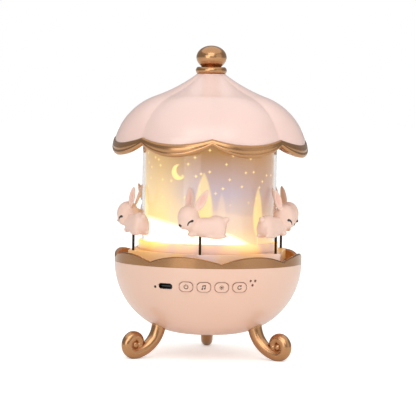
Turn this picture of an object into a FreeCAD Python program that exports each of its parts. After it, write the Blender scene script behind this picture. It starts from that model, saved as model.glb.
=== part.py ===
"""Carousel music box: lobed roof on a lit drum, rabbits on a turning table, bowl on scroll legs."""
import FreeCAD
import Part
import math
import os
import re
import Sketcher

V = FreeCAD.Vector
UP = V(0, 0, 1)
ORIGIN = V(0, 0, 0)

doc = FreeCAD.newDocument("carousel_music_box")
sheet = doc.addObject("Spreadsheet::Sheet", "sizes")
NODES = []

# Driving sizes in millimetres, degrees and counts
SIZES = {
    # Clearances
    "seat_gap": 0.05,  # between fixed faces that seat on each other
    "fit_gap": 0.1,  # around a fixed piece in its recess
    "slide_gap": 0.3,  # around a piece that slides
    "run_gap": 0.06,  # radial running clearance of a shaft or bush
    # Bowl, rim and deck
    "floor_gap": 14.0,  # underside of the bowl above the table
    "bowl_radius": 57.3,  # outside of the bowl at its mouth
    "bowl_curve": 43.6,  # radius of the bowl's round side
    "bowl_wall": 2.2,  # bowl wall
    "lobes": 8,  # scallops round the bowl rim and lobes of the roof
    "rim_wall": 2.2,  # gold rim wall
    "rim_cusp": 2.7,  # rim height over the bowl mouth at the cusps
    "rim_peak": 6.7,  # rim height over the bowl mouth between cusps
    "rim_skirt": 3.5,  # depth of the rim's spigot inside the bowl
    "rim_turn": 7.8,  # turn of the rim scallops from the front, degrees
    "deck_drop": 2.6,  # deck underside below the bowl mouth
    "deck_thick": 2.5,  # deck plate
    "deck_edge_gap": 0.6,  # deck edge to the rim spigot
    "post_inset": 11.3,  # deck screw posts in from the bowl's outside
    "post_radius": 3.2,  # screw posts in the bowl
    # Bearing and drive
    "collar_radius": 12.0,  # deck collar that the table turns on
    "collar_wall": 2.8,  # deck collar wall
    "collar_rise": 1.9,  # collar top over the table
    "washer_thick": 1.2,  # thrust washer
    "washer_width": 5.0,  # thrust washer, radial
    "float_gap": 0.1,  # end float of the table on the washer
    "bush_wall": 2.0,  # bearing bush wall
    "clip_thick": 0.7,  # retaining clip
    "clip_reach": 2.6,  # retaining clip beyond the collar
    "clip_groove": 0.6,  # depth of the clip groove
    "gear_module": 1.0,  # tooth module
    "gear_teeth": 48,  # teeth on the table's gear
    "pinion_teeth": 12,  # teeth on the motor pinion
    "gear_thick": 3.6,  # gear face width
    "pinion_play": 0.2,  # pinion face shorter than the gear face, each side
    "backlash": 0.24,  # play between teeth at the pitch circle
    "motor_radius": 8.0,  # gear motor can
    "motor_height": 15.0,  # gear motor can
    "shaft_radius": 1.0,  # motor shaft
    "motor_boss": 3.0,  # round boss round the motor shaft
    "lug_reach": 13.0,  # motor lug screws from the shaft
    "lug_wide": 7.0,  # motor lugs
    "lug_thick": 1.5,  # motor lugs
    "shaft_sink": 5.0,  # motor shaft below the deck
    # Turning table, drum and film
    "table_edge_gap": 2.5,  # table corners to the gold rim
    "table_round": 4.0,  # rounding of the table corners
    "table_thick": 2.7,  # table plate
    "table_skirt": 3.3,  # table edge below its plate
    "rabbit_count": 6,  # rabbits on the table
    "table_turn": -5.5,  # rest turn of the front rabbit from the front, degrees
    "screw_circle": 18.5,  # screws that hold the gear to the table
    "rabbit_room": 8.6,  # pole axis to the clear drum
    "drum_wall": 1.5,  # clear drum wall
    "drum_height": 73.1,  # clear drum
    "foot_wall": 1.7,  # drum foot ring outside the drum
    "foot_height": 5.6,  # drum foot ring
    "foot_ledge": 1.0,  # ledge that the drum stands on
    "foot_lip": 2.6,  # ledge reach inside the drum
    "film_thick": 0.3,  # picture film
    "film_gap": 0.3,  # film to the drum wall
    "film_short": 1.0,  # film ends below the drum top
    # Poles and rabbits
    "pole_inset": 2.9,  # pole axis in from the table corner
    "pole_radius": 0.75,  # rabbit pole
    "pole_show": 10.9,  # pole between table and rabbit
    "pole_sink": 5.0,  # pole inside the rabbit
    "body_back": 15.6,  # rabbit body behind the pole
    "body_front": 8.4,  # rabbit chest ahead of the pole
    "body_high": 11.6,  # rabbit back over the belly
    "body_thick": 9.4,  # rabbit body thickness
    "head_radius": 6.7,  # rabbit head
    "head_ahead": 7.5,  # head centre ahead of the pole
    "head_up": 10.8,  # head centre over the belly
    "ear_long": 13.0,  # rabbit ear length
    "ear_wide": 5.3,  # rabbit ear width
    "ear_thick": 2.4,  # rabbit ear thickness
    "ear_apart": 2.6,  # rabbit ears from the middle
    # Roof, trim and finial
    "roof_turn": 1.5,  # turn of the roof creases from the front, degrees
    "roof_wall": 2.0,  # roof shell
    "roof_top_radius": 8.6,  # flat land under the finial
    "roof_bend_radius": 33.0,  # crease radius where the slope turns over
    "roof_edge_radius": 57.4,  # crease radius at the gold trim
    "roof_drop": 6.1,  # gold trim line below the drum seat
    "roof_shoulder": 25.5,  # turn of the slope over the gold trim line
    "roof_peak": 13.5,  # top land over the turn of the slope
    "roof_hollow": 1.0,  # hollow of the upper slope
    "roof_swell": 4.2,  # swell of the shoulder
    "roof_bulge": 0.025,  # lobe swell as a share of the crease radius
    "trim_out": 1.2,  # gold trim beyond the roof
    "trim_cusp_top": 0.3,  # trim top over the trim line at a cusp
    "trim_cusp_low": 3.7,  # trim bottom below the trim line at a cusp
    "trim_lobe_top": 3.2,  # trim top below the trim line at a lobe
    "trim_lobe_low": 10.7,  # trim bottom below the trim line at a lobe
    "trim_lip": 1.0,  # trim lip under the roof edge
    "plate_inset": 7.4,  # edge of the roof plate in from the roof's edge
    "plate_thick": 2.0,  # roof plate
    "plate_ring": 5.5,  # depth of the plate's ring round the drum
    "plate_ring_wall": 1.8,  # wall of that ring
    "boss_circle": 24.0,  # screw bosses inside the roof
    "finial_collar_radius": 9.2,  # gold collar under the knob
    "finial_collar_high": 4.2,  # gold collar under the knob
    "finial_neck": 6.9,  # knob neck radius
    "finial_radius": 9.2,  # knob radius
    "finial_high": 13.1,  # knob height
    # Lamp
    "lamp_tube_wall": 1.6,  # lamp post wall
    "lamp_rise": 12.0,  # lamp board over the table
    "lamp_board_radius": 11.0,  # lamp board
    "lamp_flange": 1.2,  # flange of the lamp post under the deck
    "lamp_flange_out": 2.0,  # that flange beyond the collar bore
    "chip_side": 5.0,  # lamp chip
    "chip_high": 1.6,  # lamp chip
    "board_thick": 1.6,  # circuit boards
    "lens_radius": 9.0,  # lamp lens
    "lens_wall": 1.0,  # lamp lens wall
    # Controls on the front of the bowl
    "control_drop": 10.9,  # button line below the bowl mouth
    "button_wide": 7.8,  # button face
    "button_tall": 5.5,  # button face
    "button_corner": 2.5,  # button face corners
    "button_pitch": 10.5,  # button to button
    "button_shift": 3.2,  # middle of the button row right of the front
    "button_proud": 0.9,  # button face beyond the bowl
    "button_travel": 0.8,  # button stroke
    "button_flange": 1.0,  # flange beyond the button face, and its thickness
    "stem_radius": 1.6,  # button stem
    "switch_side": 6.0,  # push switch body
    "switch_deep": 3.5,  # push switch body
    "switch_pin": 1.2,  # push switch pin
    "switch_pin_radius": 1.75,  # push switch pin
    "switch_board_inset": 18.8,  # face of the switch board in from the bowl's outside
    "switch_board_margin": 1.5,  # switch board beyond the outer switches
    "switch_board_below": 5.0,  # switch board below the button line
    "usb_turn": -26.4,  # charging socket from the front, degrees
    "usb_drop": 11.1,  # charging socket below the bowl mouth
    "usb_wide": 8.94,  # charging socket shell
    "usb_tall": 3.26,  # charging socket shell
    "usb_deep": 7.3,  # charging socket shell
    "usb_wall": 0.3,  # charging socket shell wall
    "usb_inset": 1.7,  # charging socket mouth in from the bowl's outside
    "tongue_wide": 6.7,  # contact tongue of the charging socket
    "tongue_thick": 0.7,  # contact tongue of the charging socket
    "tongue_short": 1.5,  # tongue end behind the socket mouth
    "charge_board_long": 16.5,  # board behind the charging socket
    "charge_board_side": 11.0,  # that board's left end from the socket
    "charge_board_below": 5.0,  # that board below the socket
    "led_turn": -7.3,  # status light from the charging socket, degrees
    "led_radius": 0.75,  # status light pipe
    "led_drop": 0.75,  # status light below the socket's middle
    "hole_radius": 0.8,  # sound holes
    "hole_turn": 28.3,  # sound holes from the front, degrees
    "hole_pitch": 3.2,  # sound hole spacing
    "hole_drop": 8.5,  # sound holes below the bowl mouth
    # Inside the bowl
    "speaker_inset": 0.7,  # speaker frame in from the bowl's flat floor
    "gasket_wide": 2.5,  # speaker gasket, radial
    "frame_deep": 1.2,  # speaker frame
    "cone_rise": 1.4,  # middle of the speaker cone over its frame
    "speaker_high": 8.0,  # speaker
    "gasket_thick": 1.2,  # speaker gasket
    "cell_radius": 7.1,  # battery cell
    "cell_long": 50.0,  # battery cell
    "cell_inset": 33.3,  # battery cell axis in from the bowl's outside
    "cell_up": 16.2,  # battery cell axis over the bowl floor
    "cradle_long": 36.0,  # battery cradle
    "cradle_wide": 10.8,  # battery cradle
    "main_long": 40.0,  # main board
    "main_wide": 25.0,  # main board
    "main_ahead": 16.0,  # main board ahead of the axis
    "main_up": 14.6,  # main board over the bowl floor
    "board_post_radius": 2.4,  # posts under the main board
    "board_post_inset": 3.5,  # those posts in from the board's corners
    "rail_long": 26.0,  # deck rail behind the switch board
    "rail_thick": 2.0,  # deck rail
    "rail_deep": 4.0,  # deck rail below the deck
    # Scroll legs
    "leg_turn": 60.0,  # front legs from the front, degrees
    "leg_inset": 23.9,  # leg root in from the bowl's outside
    "leg_sink": 9.5,  # leg root over the bowl's underside
    "leg_boss_high": 8.6,  # leg screw bosses over the bowl floor
    "leg_boss_wall": 0.6,  # leg screw bosses wider than the deck posts
    "leg_root": 4.6,  # leg thickness radius at the bowl
    "leg_end": 3.7,  # leg thickness radius at the scroll
    "scroll_reach": 16.5,  # scroll centre out from the leg root
    "scroll_radius": 5.0,  # scroll centre line
    "stem_bend": 19.5,  # bend radius of the leg stem
    "bead_radius": 2.5,  # bead in the scroll
    "foot_flat": 0.3,  # flat ground off the foot
    # Fasteners and cutting shapes
    "screw_radius": 1.25,  # small screws
    "screw_head": 2.4,  # small screw heads
    "screw_head_high": 1.3,  # small screw heads
    "deck_screw_long": 10.0,  # deck screws
    "plate_screw_long": 6.0,  # roof plate screws inside the roof bosses
    "leg_screw_long": 10.4,  # leg screws
    "over_cut": 1.0,  # cutting shapes beyond the faces they cut
    "through_cut": 20.0,  # cutting shapes through the bowl wall
}
for row, (alias, number) in enumerate(SIZES.items(), 1):
    sheet.set(f"A{row}", alias)
    sheet.set(f"B{row}", str(number))
    sheet.setAlias(f"B{row}", alias)
doc.recompute()

# Levels and radii that follow from the sizes
BOWL_TOP = "(floor_gap + bowl_curve)"
BOWL_FLAT = "(bowl_radius - bowl_curve)"
BOWL_FLOOR = "(floor_gap + bowl_wall)"
DECK_LOW = f"({BOWL_TOP} - deck_drop)"
DECK_TOP = f"({DECK_LOW} + deck_thick)"
SPIGOT_OUT = f"({BOWL_FLAT} + sqrt((bowl_curve - bowl_wall) ^ 2 - rim_skirt ^ 2) - fit_gap)"
SPIGOT_IN = f"({SPIGOT_OUT} - rim_wall * 0.6)"
DECK_RADIUS = f"({SPIGOT_IN} - deck_edge_gap)"
WASHER_TOP = f"({DECK_TOP} + seat_gap + washer_thick)"
GEAR_LOW = f"({WASHER_TOP} + float_gap)"
GEAR_TOP = f"({GEAR_LOW} + gear_thick)"
TABLE_LOW = f"({GEAR_TOP} + seat_gap)"
TABLE_TOP = f"({TABLE_LOW} + table_thick)"
BUSH_IN = "(collar_radius + run_gap)"
BUSH_OUT = f"({BUSH_IN} + bush_wall)"
COLLAR_TOP = f"({TABLE_TOP} + collar_rise)"
COLLAR_BORE = "(collar_radius - collar_wall)"
PITCH_GEAR = "(gear_module * gear_teeth / 2)"
PITCH_PINION = "(gear_module * pinion_teeth / 2)"
CENTRES = f"({PITCH_GEAR} + {PITCH_PINION})"
FOOT_LOW = f"({TABLE_TOP} + seat_gap)"
DRUM_LOW = f"({FOOT_LOW} + foot_ledge + seat_gap)"
DRUM_TOP = f"({DRUM_LOW} + drum_height)"
TABLE_CORNER = "(bowl_radius - rim_wall - table_edge_gap)"
POLE_CIRCLE = f"({TABLE_CORNER} - pole_inset)"
DRUM_RADIUS = f"({POLE_CIRCLE} - rabbit_room)"
DRUM_IN = f"({DRUM_RADIUS} - drum_wall)"
FILM_OUT = f"({DRUM_IN} - film_gap)"
ROOF_SEAT = f"({DRUM_TOP} + fit_gap)"
PLATE_TOP = f"({ROOF_SEAT} + plate_thick)"
TRIM_LINE = f"({ROOF_SEAT} - roof_drop)"
ROOF_BEND = f"({TRIM_LINE} + roof_shoulder)"
ROOF_TOP = f"({ROOF_BEND} + roof_peak)"
KNOB_LOW = f"({ROOF_TOP} + finial_collar_high + 2 * seat_gap)"
BELLY = f"({TABLE_TOP} + pole_show)"
LAMP_LOW = f"({TABLE_TOP} + lamp_rise)"
LAMP_TOP = f"({LAMP_LOW} + board_thick)"
CONTROL_Z = f"({BOWL_TOP} - control_drop)"
USB_Z = f"({BOWL_TOP} - usb_drop)"
LED_Z = f"({USB_Z} - led_drop)"
LED_ANGLE = "(usb_turn + led_turn)"
SPEAKER_RADIUS = f"({BOWL_FLAT} - speaker_inset)"
SPEAKER_LOW = f"({BOWL_FLOOR} + gasket_thick + 2 * seat_gap)"
CELL_Z = f"({BOWL_FLOOR} + cell_up)"
MAIN_LOW = f"({BOWL_FLOOR} + main_up)"
CELL_BACK = "(bowl_radius - cell_inset)"
POST_CIRCLE = "(bowl_radius - post_inset)"
LEG_CIRCLE = "(bowl_radius - leg_inset)"
LEG_BOSS_TOP = f"({BOWL_FLOOR} + leg_boss_high)"
SWITCH_BOARD = "(bowl_radius - switch_board_inset)"
PLATE_RADIUS = "(roof_edge_radius - plate_inset)"
USB_MOUTH = "(bowl_radius - usb_inset)"
USB_BACK = f"({USB_MOUTH} - usb_deep)"
CUT_START = "(bowl_radius - through_cut / 2)"
SKIRT_LOW = f"({TABLE_LOW} - table_skirt)"
GEAR_ROOM = f"({CENTRES} + {PITCH_PINION} + gear_module + table_edge_gap)"


def value(expression):
    return float(sheet.evalExpression(str(expression)))


def link(expression):
    names = re.compile(r"\b[a-z][a-z_]*\b")
    return names.sub(lambda m: "sizes." + m[0] if m[0] in SIZES else m[0], str(expression))


def bind(obj, **links):
    for name, expression in links.items():
        obj.setExpression(name, link(expression))


def put(obj, x="0", y="0", z="0", turn=None, axis=UP):
    if turn is not None:
        obj.Placement = FreeCAD.Placement(ORIGIN, FreeCAD.Rotation(axis, value(turn)))
        obj.setExpression("Placement.Rotation.Angle", link(turn))
    for name, expression in (("x", x), ("y", y), ("z", z)):
        obj.setExpression(f"Placement.Base.{name}", link(expression))
    return obj


def keep(obj):
    obj.Label = obj.Name
    NODES.append(obj)
    return obj


def cylinder(name, radius, height, x="0", y="0", z="0", turn=None, axis=UP):
    obj = doc.addObject("Part::Cylinder", name)
    bind(obj, Radius=radius, Height=height)
    return put(obj, x, y, z, turn, axis)


def box(name, long, wide, high, x="0", y="0", z="0"):
    """Box centred on x and y, standing on z."""
    obj = doc.addObject("Part::Box", name)
    bind(obj, Length=long, Width=wide, Height=high)
    return put(obj, f"{x} - ({long}) / 2", f"{y} - ({wide}) / 2", z)


def cut(name, base, *tools):
    obj = doc.addObject("Part::Cut", name)
    obj.Base = base
    if len(tools) == 1:
        obj.Tool = tools[0]
    else:
        obj.Tool = join(name + "_cutters", *tools)
    return obj


def join(name, *pieces):
    obj = doc.addObject("Part::MultiFuse", name)
    obj.Shapes = list(pieces)
    return obj


def shared(name, *pieces):
    obj = doc.addObject("Part::MultiCommon", name)
    obj.Shapes = list(pieces)
    return obj


def group(name, pieces):
    obj = doc.addObject("Part::Compound", name)
    obj.Links = list(pieces)
    return obj


def tube(name, outer, inner, height, z, x="0", y="0"):
    solid = cylinder(name + "_solid", outer, height, x, y, z)
    bore = cylinder(name + "_bore", inner, f"({height}) + 2", x, y, f"({z}) - 1")
    return cut(name, solid, bore)


def feature(name, shape):
    obj = doc.addObject("Part::Feature", name)
    obj.Shape = shape
    return obj


def arc_mid(start, end, radius):
    """Middle of the short arc; a positive radius bulges to the right of the way from start to end."""
    chord = end - start
    half = chord.Length / 2
    rise = abs(radius) - math.sqrt(max(radius * radius - half * half, 0.0))
    side = V(chord.y, -chord.x, 0).normalize()
    return (start + end) * 0.5 + side * math.copysign(rise, radius)


def sketch(body, name, plane, path, level=None):
    """Closed outline of lines and arcs; each corner is (across, up) or (across, up, arc radius to it)."""
    obj = body.newObject("Sketcher::SketchObject", name)
    planes = [item for item in body.Origin.OriginFeatures if item.Role == plane]
    obj.AttachmentSupport = [(planes[0], "")]
    obj.MapMode = "FlatFace"
    if level is not None:
        obj.setExpression("AttachmentOffset.Base.z", link(level))
    spots = [V(value(corner[0]), value(corner[1]), 0) for corner in path]
    ends = []
    for index, corner in enumerate(path):
        start = spots[index - 1]
        end = spots[index]
        if len(corner) == 3:
            middle = arc_mid(start, end, value(corner[2]))
            item = obj.addGeometry(Part.Arc(start, middle, end), False)
            first = (obj.getPoint(item, 1) - start).Length < (obj.getPoint(item, 2) - start).Length
            ends.append((item, 1, 2) if first else (item, 2, 1))
            mark = obj.addConstraint(Sketcher.Constraint("Radius", item, abs(value(corner[2]))))
            obj.setExpression(f"Constraints[{mark}]", link(f"abs({corner[2]})"))
        else:
            item = obj.addGeometry(Part.LineSegment(start, end), False)
            ends.append((item, 1, 2))
    for index, corner in enumerate(path):
        item, first, last = ends[index]
        after = ends[(index + 1) % len(path)]
        obj.addConstraint(Sketcher.Constraint("Coincident", item, last, after[0], after[1]))
        for kind, expression in (("DistanceX", corner[0]), ("DistanceY", corner[1])):
            mark = obj.addConstraint(Sketcher.Constraint(kind, -1, 1, item, last, value(expression)))
            obj.setExpression(f"Constraints[{mark}]", link(expression))
    return obj


def turned(name, path):
    """Body turned round the upright axis; path holds (radius, height) corners."""
    body = doc.addObject("PartDesign::Body", name)
    outline = sketch(body, name + "_outline", "XZ_Plane", path)
    doc.recompute()
    turn = body.newObject("PartDesign::Revolution", name + "_turn")
    turn.Profile = outline
    turn.ReferenceAxis = (outline, ["V_Axis"])
    turn.Angle = 360
    doc.recompute()
    return body


def padded(name, path, level, height, plane="XY_Plane"):
    body = doc.addObject("PartDesign::Body", name)
    outline = sketch(body, name + "_outline", plane, path, level)
    doc.recompute()
    pad = body.newObject("PartDesign::Pad", name + "_pad")
    pad.Profile = outline
    bind(pad, Length=height)
    doc.recompute()
    return body


def round_bar(name, wide, tall, corner, deep, x, y, z, turn=None):
    """Bar along the depth with a rounded section, its back end at y, reaching forward by deep."""
    right = f"({wide}) / 2"
    top = f"({tall}) / 2"
    corner = f"({corner})"
    path = [
        (f"{right} - {corner}", f"-({top})"),
        (right, f"{corner} - ({top})", corner),
        (right, f"{top} - {corner}"),
        (f"{right} - {corner}", top, corner),
        (f"{corner} - ({right})", top),
        (f"-({right})", f"{top} - {corner}", corner),
        (f"-({right})", f"{corner} - ({top})"),
        (f"{corner} - ({right})", f"-({top})", corner),
    ]
    body = padded(name, path, None, deep, "XZ_Plane")
    return put(body, x, y, z, turn)


def screws(name, spots, seat, length, head_up=True):
    """Pan head screws at the spots, seated at one level."""
    pieces = []
    for index, (x, y) in enumerate(spots, 1):
        part = f"{name}_{index}"
        head_z = seat if head_up else f"({seat}) - screw_head_high"
        shank_z = f"({seat}) - ({length})" if head_up else seat
        head = cylinder(part + "_head", "screw_head", "screw_head_high", x, y, head_z)
        shank = cylinder(part + "_shank", "screw_radius", length, x, y, shank_z)
        pieces.append(join(part, head, shank))
    return keep(group(name, pieces))


def on_circle(radius, angles):
    """Spots on a circle; angles are counted from the front towards the right."""
    spots = []
    for angle in angles:
        spots.append((f"{radius} * sin({angle})", f"-({radius}) * cos({angle})"))
    return spots


def drill(name, spots, radius, low, height):
    holes = []
    for index, (x, y) in enumerate(spots, 1):
        holes.append(cylinder(f"{name}_{index}", radius, height, x, y, low))
    return holes


def outward(name, radius, length, start, angle, level):
    """Cylinder that lies along a radius at the given angle from the front, starting off the axis."""
    bar = cylinder(name, radius, length, f"{start} * sin{angle}", f"-{start} * cos{angle}", level)
    bar.Placement.Rotation = FreeCAD.Rotation(UP, value(angle)) * FreeCAD.Rotation(V(1, 0, 0), 90)
    return bar


# Petal rings: one lobe lofted through radial outlines, repeated round the axis
def radial(path, angle):
    """Closed wire in the radial plane; path holds (radius, height) or (radius, height, swell)."""
    edges = []
    for index, corner in enumerate(path):
        before = path[index - 1]
        start = V(before[0], 0, before[1])
        end = V(corner[0], 0, corner[1])
        if len(corner) == 3:
            along = (end - start).normalize()
            middle = (start + end) * 0.5 + V(along.z, 0, -along.x) * -corner[2]
            edges.append(Part.Arc(start, middle, end).toShape())
        else:
            edges.append(Part.LineSegment(start, end).toShape())
    wire = Part.Wire(edges)
    wire.rotate(ORIGIN, UP, angle)
    return wire


def petals(profile, turn, steps=(-1.0, -0.5, 0.0, 0.5, 1.0)):
    count = int(value("lobes"))
    half = 180.0 / count
    wires = [radial(profile(1.0 - step * step), step * half) for step in steps]
    petal = Part.makeLoft(wires, True, False)
    rings = []
    for index in range(count):
        copy = petal.copy()
        copy.rotate(ORIGIN, UP, turn + half * (2 * index + 1))
        rings.append(copy)
    return rings[0].multiFuse(rings[1:])


# Bowl with posts, holes and slots
def bowl_solid(name, out):
    """The bowl's outside as a full solid, moved out by the given amount."""
    return turned(name, [
        ("0", f"floor_gap - ({out})"),
        (BOWL_FLAT, f"floor_gap - ({out})"),
        (f"bowl_radius + ({out})", BOWL_TOP, f"bowl_curve + ({out})"),
        ("0", BOWL_TOP),
    ])


bowl_shell = turned("bowl_shell", [
    ("0", "floor_gap"),
    (BOWL_FLAT, "floor_gap"),
    ("bowl_radius", BOWL_TOP, "bowl_curve"),
    ("bowl_radius - bowl_wall", BOWL_TOP),
    (BOWL_FLAT, BOWL_FLOOR, "-(bowl_curve - bowl_wall)"),
    ("0", BOWL_FLOOR),
])
bowl_heart = bowl_solid("bowl_heart", "-bowl_wall / 2")
bowl_inside = bowl_solid("bowl_inside", "-bowl_wall - fit_gap")
bowl_press = bowl_solid("bowl_press", "-bowl_wall - slide_gap / 2")
bowl_proud = bowl_solid("bowl_proud", "button_proud")
bowl_around = bowl_solid("bowl_around", "seat_gap")

POST_ANGLES = ("50", "130", "230", "310")
LEG_ANGLES = ("-leg_turn", "leg_turn", "180")
BOARD_SPOTS = []
for across in (1, -1):
    for along in (1, -1):
        BOARD_SPOTS.append((
            f"{across} * (main_long / 2 - board_post_inset)",
            f"{along} * (main_wide / 2 - board_post_inset) - main_ahead"))
post_spots = on_circle(POST_CIRCLE, POST_ANGLES)
leg_spots = on_circle(LEG_CIRCLE, LEG_ANGLES)
deck_posts = drill(
    "deck_post", post_spots, "post_radius", "floor_gap", f"{DECK_LOW} - floor_gap - seat_gap")
leg_bosses = drill(
    "leg_boss", leg_spots, "post_radius + leg_boss_wall", "floor_gap", f"{LEG_BOSS_TOP} - floor_gap")
board_posts = drill(
    "board_post", BOARD_SPOTS, "board_post_radius", "floor_gap", f"{MAIN_LOW} - floor_gap - seat_gap")
posts = shared("bowl_posts", join("bowl_post_set", *deck_posts, *leg_bosses, *board_posts), bowl_heart)

button_places = []
for order in range(4):
    button_places.append(f"(button_shift + button_pitch * ({order} - 1.5))")
button_holes = []
for order, place in enumerate(button_places, 1):
    button_holes.append(round_bar(
        f"button_hole_{order}", "button_wide + 2 * slide_gap", "button_tall + 2 * slide_gap",
        "button_corner", "through_cut", place, f"-{CUT_START}", CONTROL_Z))
usb_hole = round_bar(
    "usb_hole", "usb_wide + 2 * fit_gap", "usb_tall + 2 * fit_gap", "usb_tall / 2",
    "through_cut", f"{CUT_START} * sin(usb_turn)", f"-{CUT_START} * cos(usb_turn)", USB_Z, "usb_turn")
led_hole = outward("led_hole", "led_radius + fit_gap", "through_cut", CUT_START, LED_ANGLE, LED_Z)
sound_holes = []
for order, (side, rise) in enumerate(((-0.5, 0.5), (0.5, 0.5), (0.0, -0.5)), 1):
    angle = f"(hole_turn + {side} * hole_pitch / bowl_radius * 180 / pi)"
    level = f"{BOWL_TOP} - hole_drop + {rise} * hole_pitch * 0.8"
    sound_holes.append(outward(f"sound_hole_{order}", "hole_radius", "through_cut", CUT_START, angle, level))
post_bores = drill("post_bore", post_spots, "screw_radius + fit_gap",
                   f"{DECK_LOW} - deck_screw_long - over_cut", "deck_screw_long + 2 * over_cut")
leg_bores = drill("leg_bore", leg_spots, "screw_radius + fit_gap", "floor_gap - over_cut",
                  f"{LEG_BOSS_TOP} - floor_gap + 2 * over_cut")
bowl_body = join("bowl_body", bowl_shell, posts)
keep(cut("bowl", bowl_body, *button_holes, usb_hole, led_hole, *sound_holes, *post_bores, *leg_bores))


def rim_profile(lift):
    mouth = value(BOWL_TOP) + value("seat_gap")
    outer = value("bowl_radius")
    inner = outer - value("rim_wall")
    top = mouth + value("rim_cusp") + (value("rim_peak") - value("rim_cusp")) * lift
    soft = value("rim_wall") * 0.3
    ledge = mouth + value("rim_wall") * 0.8
    return [
        (outer, mouth),
        (outer, top - soft),
        (outer - soft, top, soft * 0.3),
        (inner + soft, top),
        (inner, top - soft, soft * 0.3),
        (inner, ledge),
        (value(SPIGOT_IN), ledge),
        (value(SPIGOT_IN), mouth - value("rim_skirt")),
        (value(SPIGOT_OUT), mouth - value("rim_skirt")),
        (value(SPIGOT_OUT), mouth),
    ]


keep(feature("bowl_rim", petals(rim_profile, value("rim_turn"))))

# Deck with its bearing collar
deck_plate = turned("deck_plate", [
    (COLLAR_BORE, DECK_LOW),
    (DECK_RADIUS, DECK_LOW),
    (DECK_RADIUS, DECK_TOP),
    ("collar_radius", DECK_TOP),
    ("collar_radius", f"{COLLAR_TOP} - 1.6 * clip_thick - clip_thick"),
    ("collar_radius - clip_groove", f"{COLLAR_TOP} - 1.6 * clip_thick - clip_thick"),
    ("collar_radius - clip_groove", f"{COLLAR_TOP} - 1.3 * clip_thick"),
    ("collar_radius", f"{COLLAR_TOP} - 1.3 * clip_thick"),
    ("collar_radius", COLLAR_TOP),
    (COLLAR_BORE, COLLAR_TOP),
])
deck_rail = box("deck_rail", "rail_long", "rail_thick", "rail_deep + deck_thick / 2", "button_shift",
                f"board_thick + fit_gap + rail_thick / 2 - {SWITCH_BOARD}", f"{DECK_LOW} - rail_deep")
lug_spots = [(CENTRES, "lug_reach"), (CENTRES, "-lug_reach")]
DECK_CUT = ("screw_radius + fit_gap", f"{DECK_LOW} - over_cut", "deck_thick + 2 * over_cut")
deck_holes = drill("deck_hole", post_spots, *DECK_CUT)
lug_holes = drill("lug_hole", lug_spots, *DECK_CUT)
motor_hole = cylinder("motor_hole", "motor_boss + fit_gap", "deck_thick + 2 * over_cut", CENTRES, "0",
                      f"{DECK_LOW} - over_cut")
keep(cut("deck", join("deck_body", deck_plate, deck_rail), *deck_holes, *lug_holes, motor_hole))
screws("deck_screws", post_spots, f"{DECK_TOP} + seat_gap", "deck_screw_long")
keep(tube("thrust_washer", "collar_radius + washer_width", "collar_radius + fit_gap", "washer_thick",
          f"{DECK_TOP} + seat_gap"))
keep(tube("retaining_clip", "collar_radius + clip_reach", "collar_radius - clip_groove + seat_gap",
          "clip_thick", f"{COLLAR_TOP} - 2.5 * clip_thick"))

# Lamp on its fixed post
keep(turned("lamp_post", [
    (f"{COLLAR_BORE} - fit_gap - lamp_tube_wall", f"{DECK_LOW} - lamp_flange"),
    (f"{COLLAR_BORE} + lamp_flange_out", f"{DECK_LOW} - lamp_flange"),
    (f"{COLLAR_BORE} + lamp_flange_out", f"{DECK_LOW} - seat_gap"),
    (f"{COLLAR_BORE} - fit_gap", f"{DECK_LOW} - seat_gap"),
    (f"{COLLAR_BORE} - fit_gap", f"{LAMP_LOW} - seat_gap"),
    (f"{COLLAR_BORE} - fit_gap - lamp_tube_wall", f"{LAMP_LOW} - seat_gap"),
]))
keep(cylinder("lamp_board", "lamp_board_radius", "board_thick", z=LAMP_LOW))
keep(box("lamp_led", "chip_side", "chip_side", "chip_high", z=f"{LAMP_TOP} + seat_gap"))
keep(turned("lamp_lens", [
    ("lens_radius", f"{LAMP_TOP} + seat_gap"),
    ("0", f"{LAMP_TOP} + seat_gap + lens_radius", "lens_radius"),
    ("0", f"{LAMP_TOP} + seat_gap + lens_radius - lens_wall"),
    ("lens_radius - lens_wall", f"{LAMP_TOP} + seat_gap", "-(lens_radius - lens_wall)"),
]))


# Gear drive
def gear_outline(teeth, pitch, tip, root, phase):
    """Straight sided involute teeth as a closed polygon."""
    base = pitch * math.cos(math.radians(20))
    roll = math.tan(math.radians(20)) - math.radians(20)
    half = math.pi / (2 * teeth) - value("backlash") / (4 * pitch)

    def flank(radius):
        press = math.acos(min(base / max(radius, base), 1.0))
        return half + roll - (math.tan(press) - press)

    spots = []
    levels = [root, max(root, base), pitch, tip]
    for tooth in range(teeth):
        middle = phase + 2 * math.pi * tooth / teeth
        for radius in levels:
            turn = middle - flank(radius)
            spots.append(V(radius * math.cos(turn), radius * math.sin(turn), 0))
        for radius in reversed(levels):
            turn = middle + flank(radius)
            spots.append(V(radius * math.cos(turn), radius * math.sin(turn), 0))
    clean = [spots[0]]
    for spot in spots[1:]:
        if (spot - clean[-1]).Length > 0.001:
            clean.append(spot)
    return Part.Face(Part.makePolygon(clean + [clean[0]]))


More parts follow.
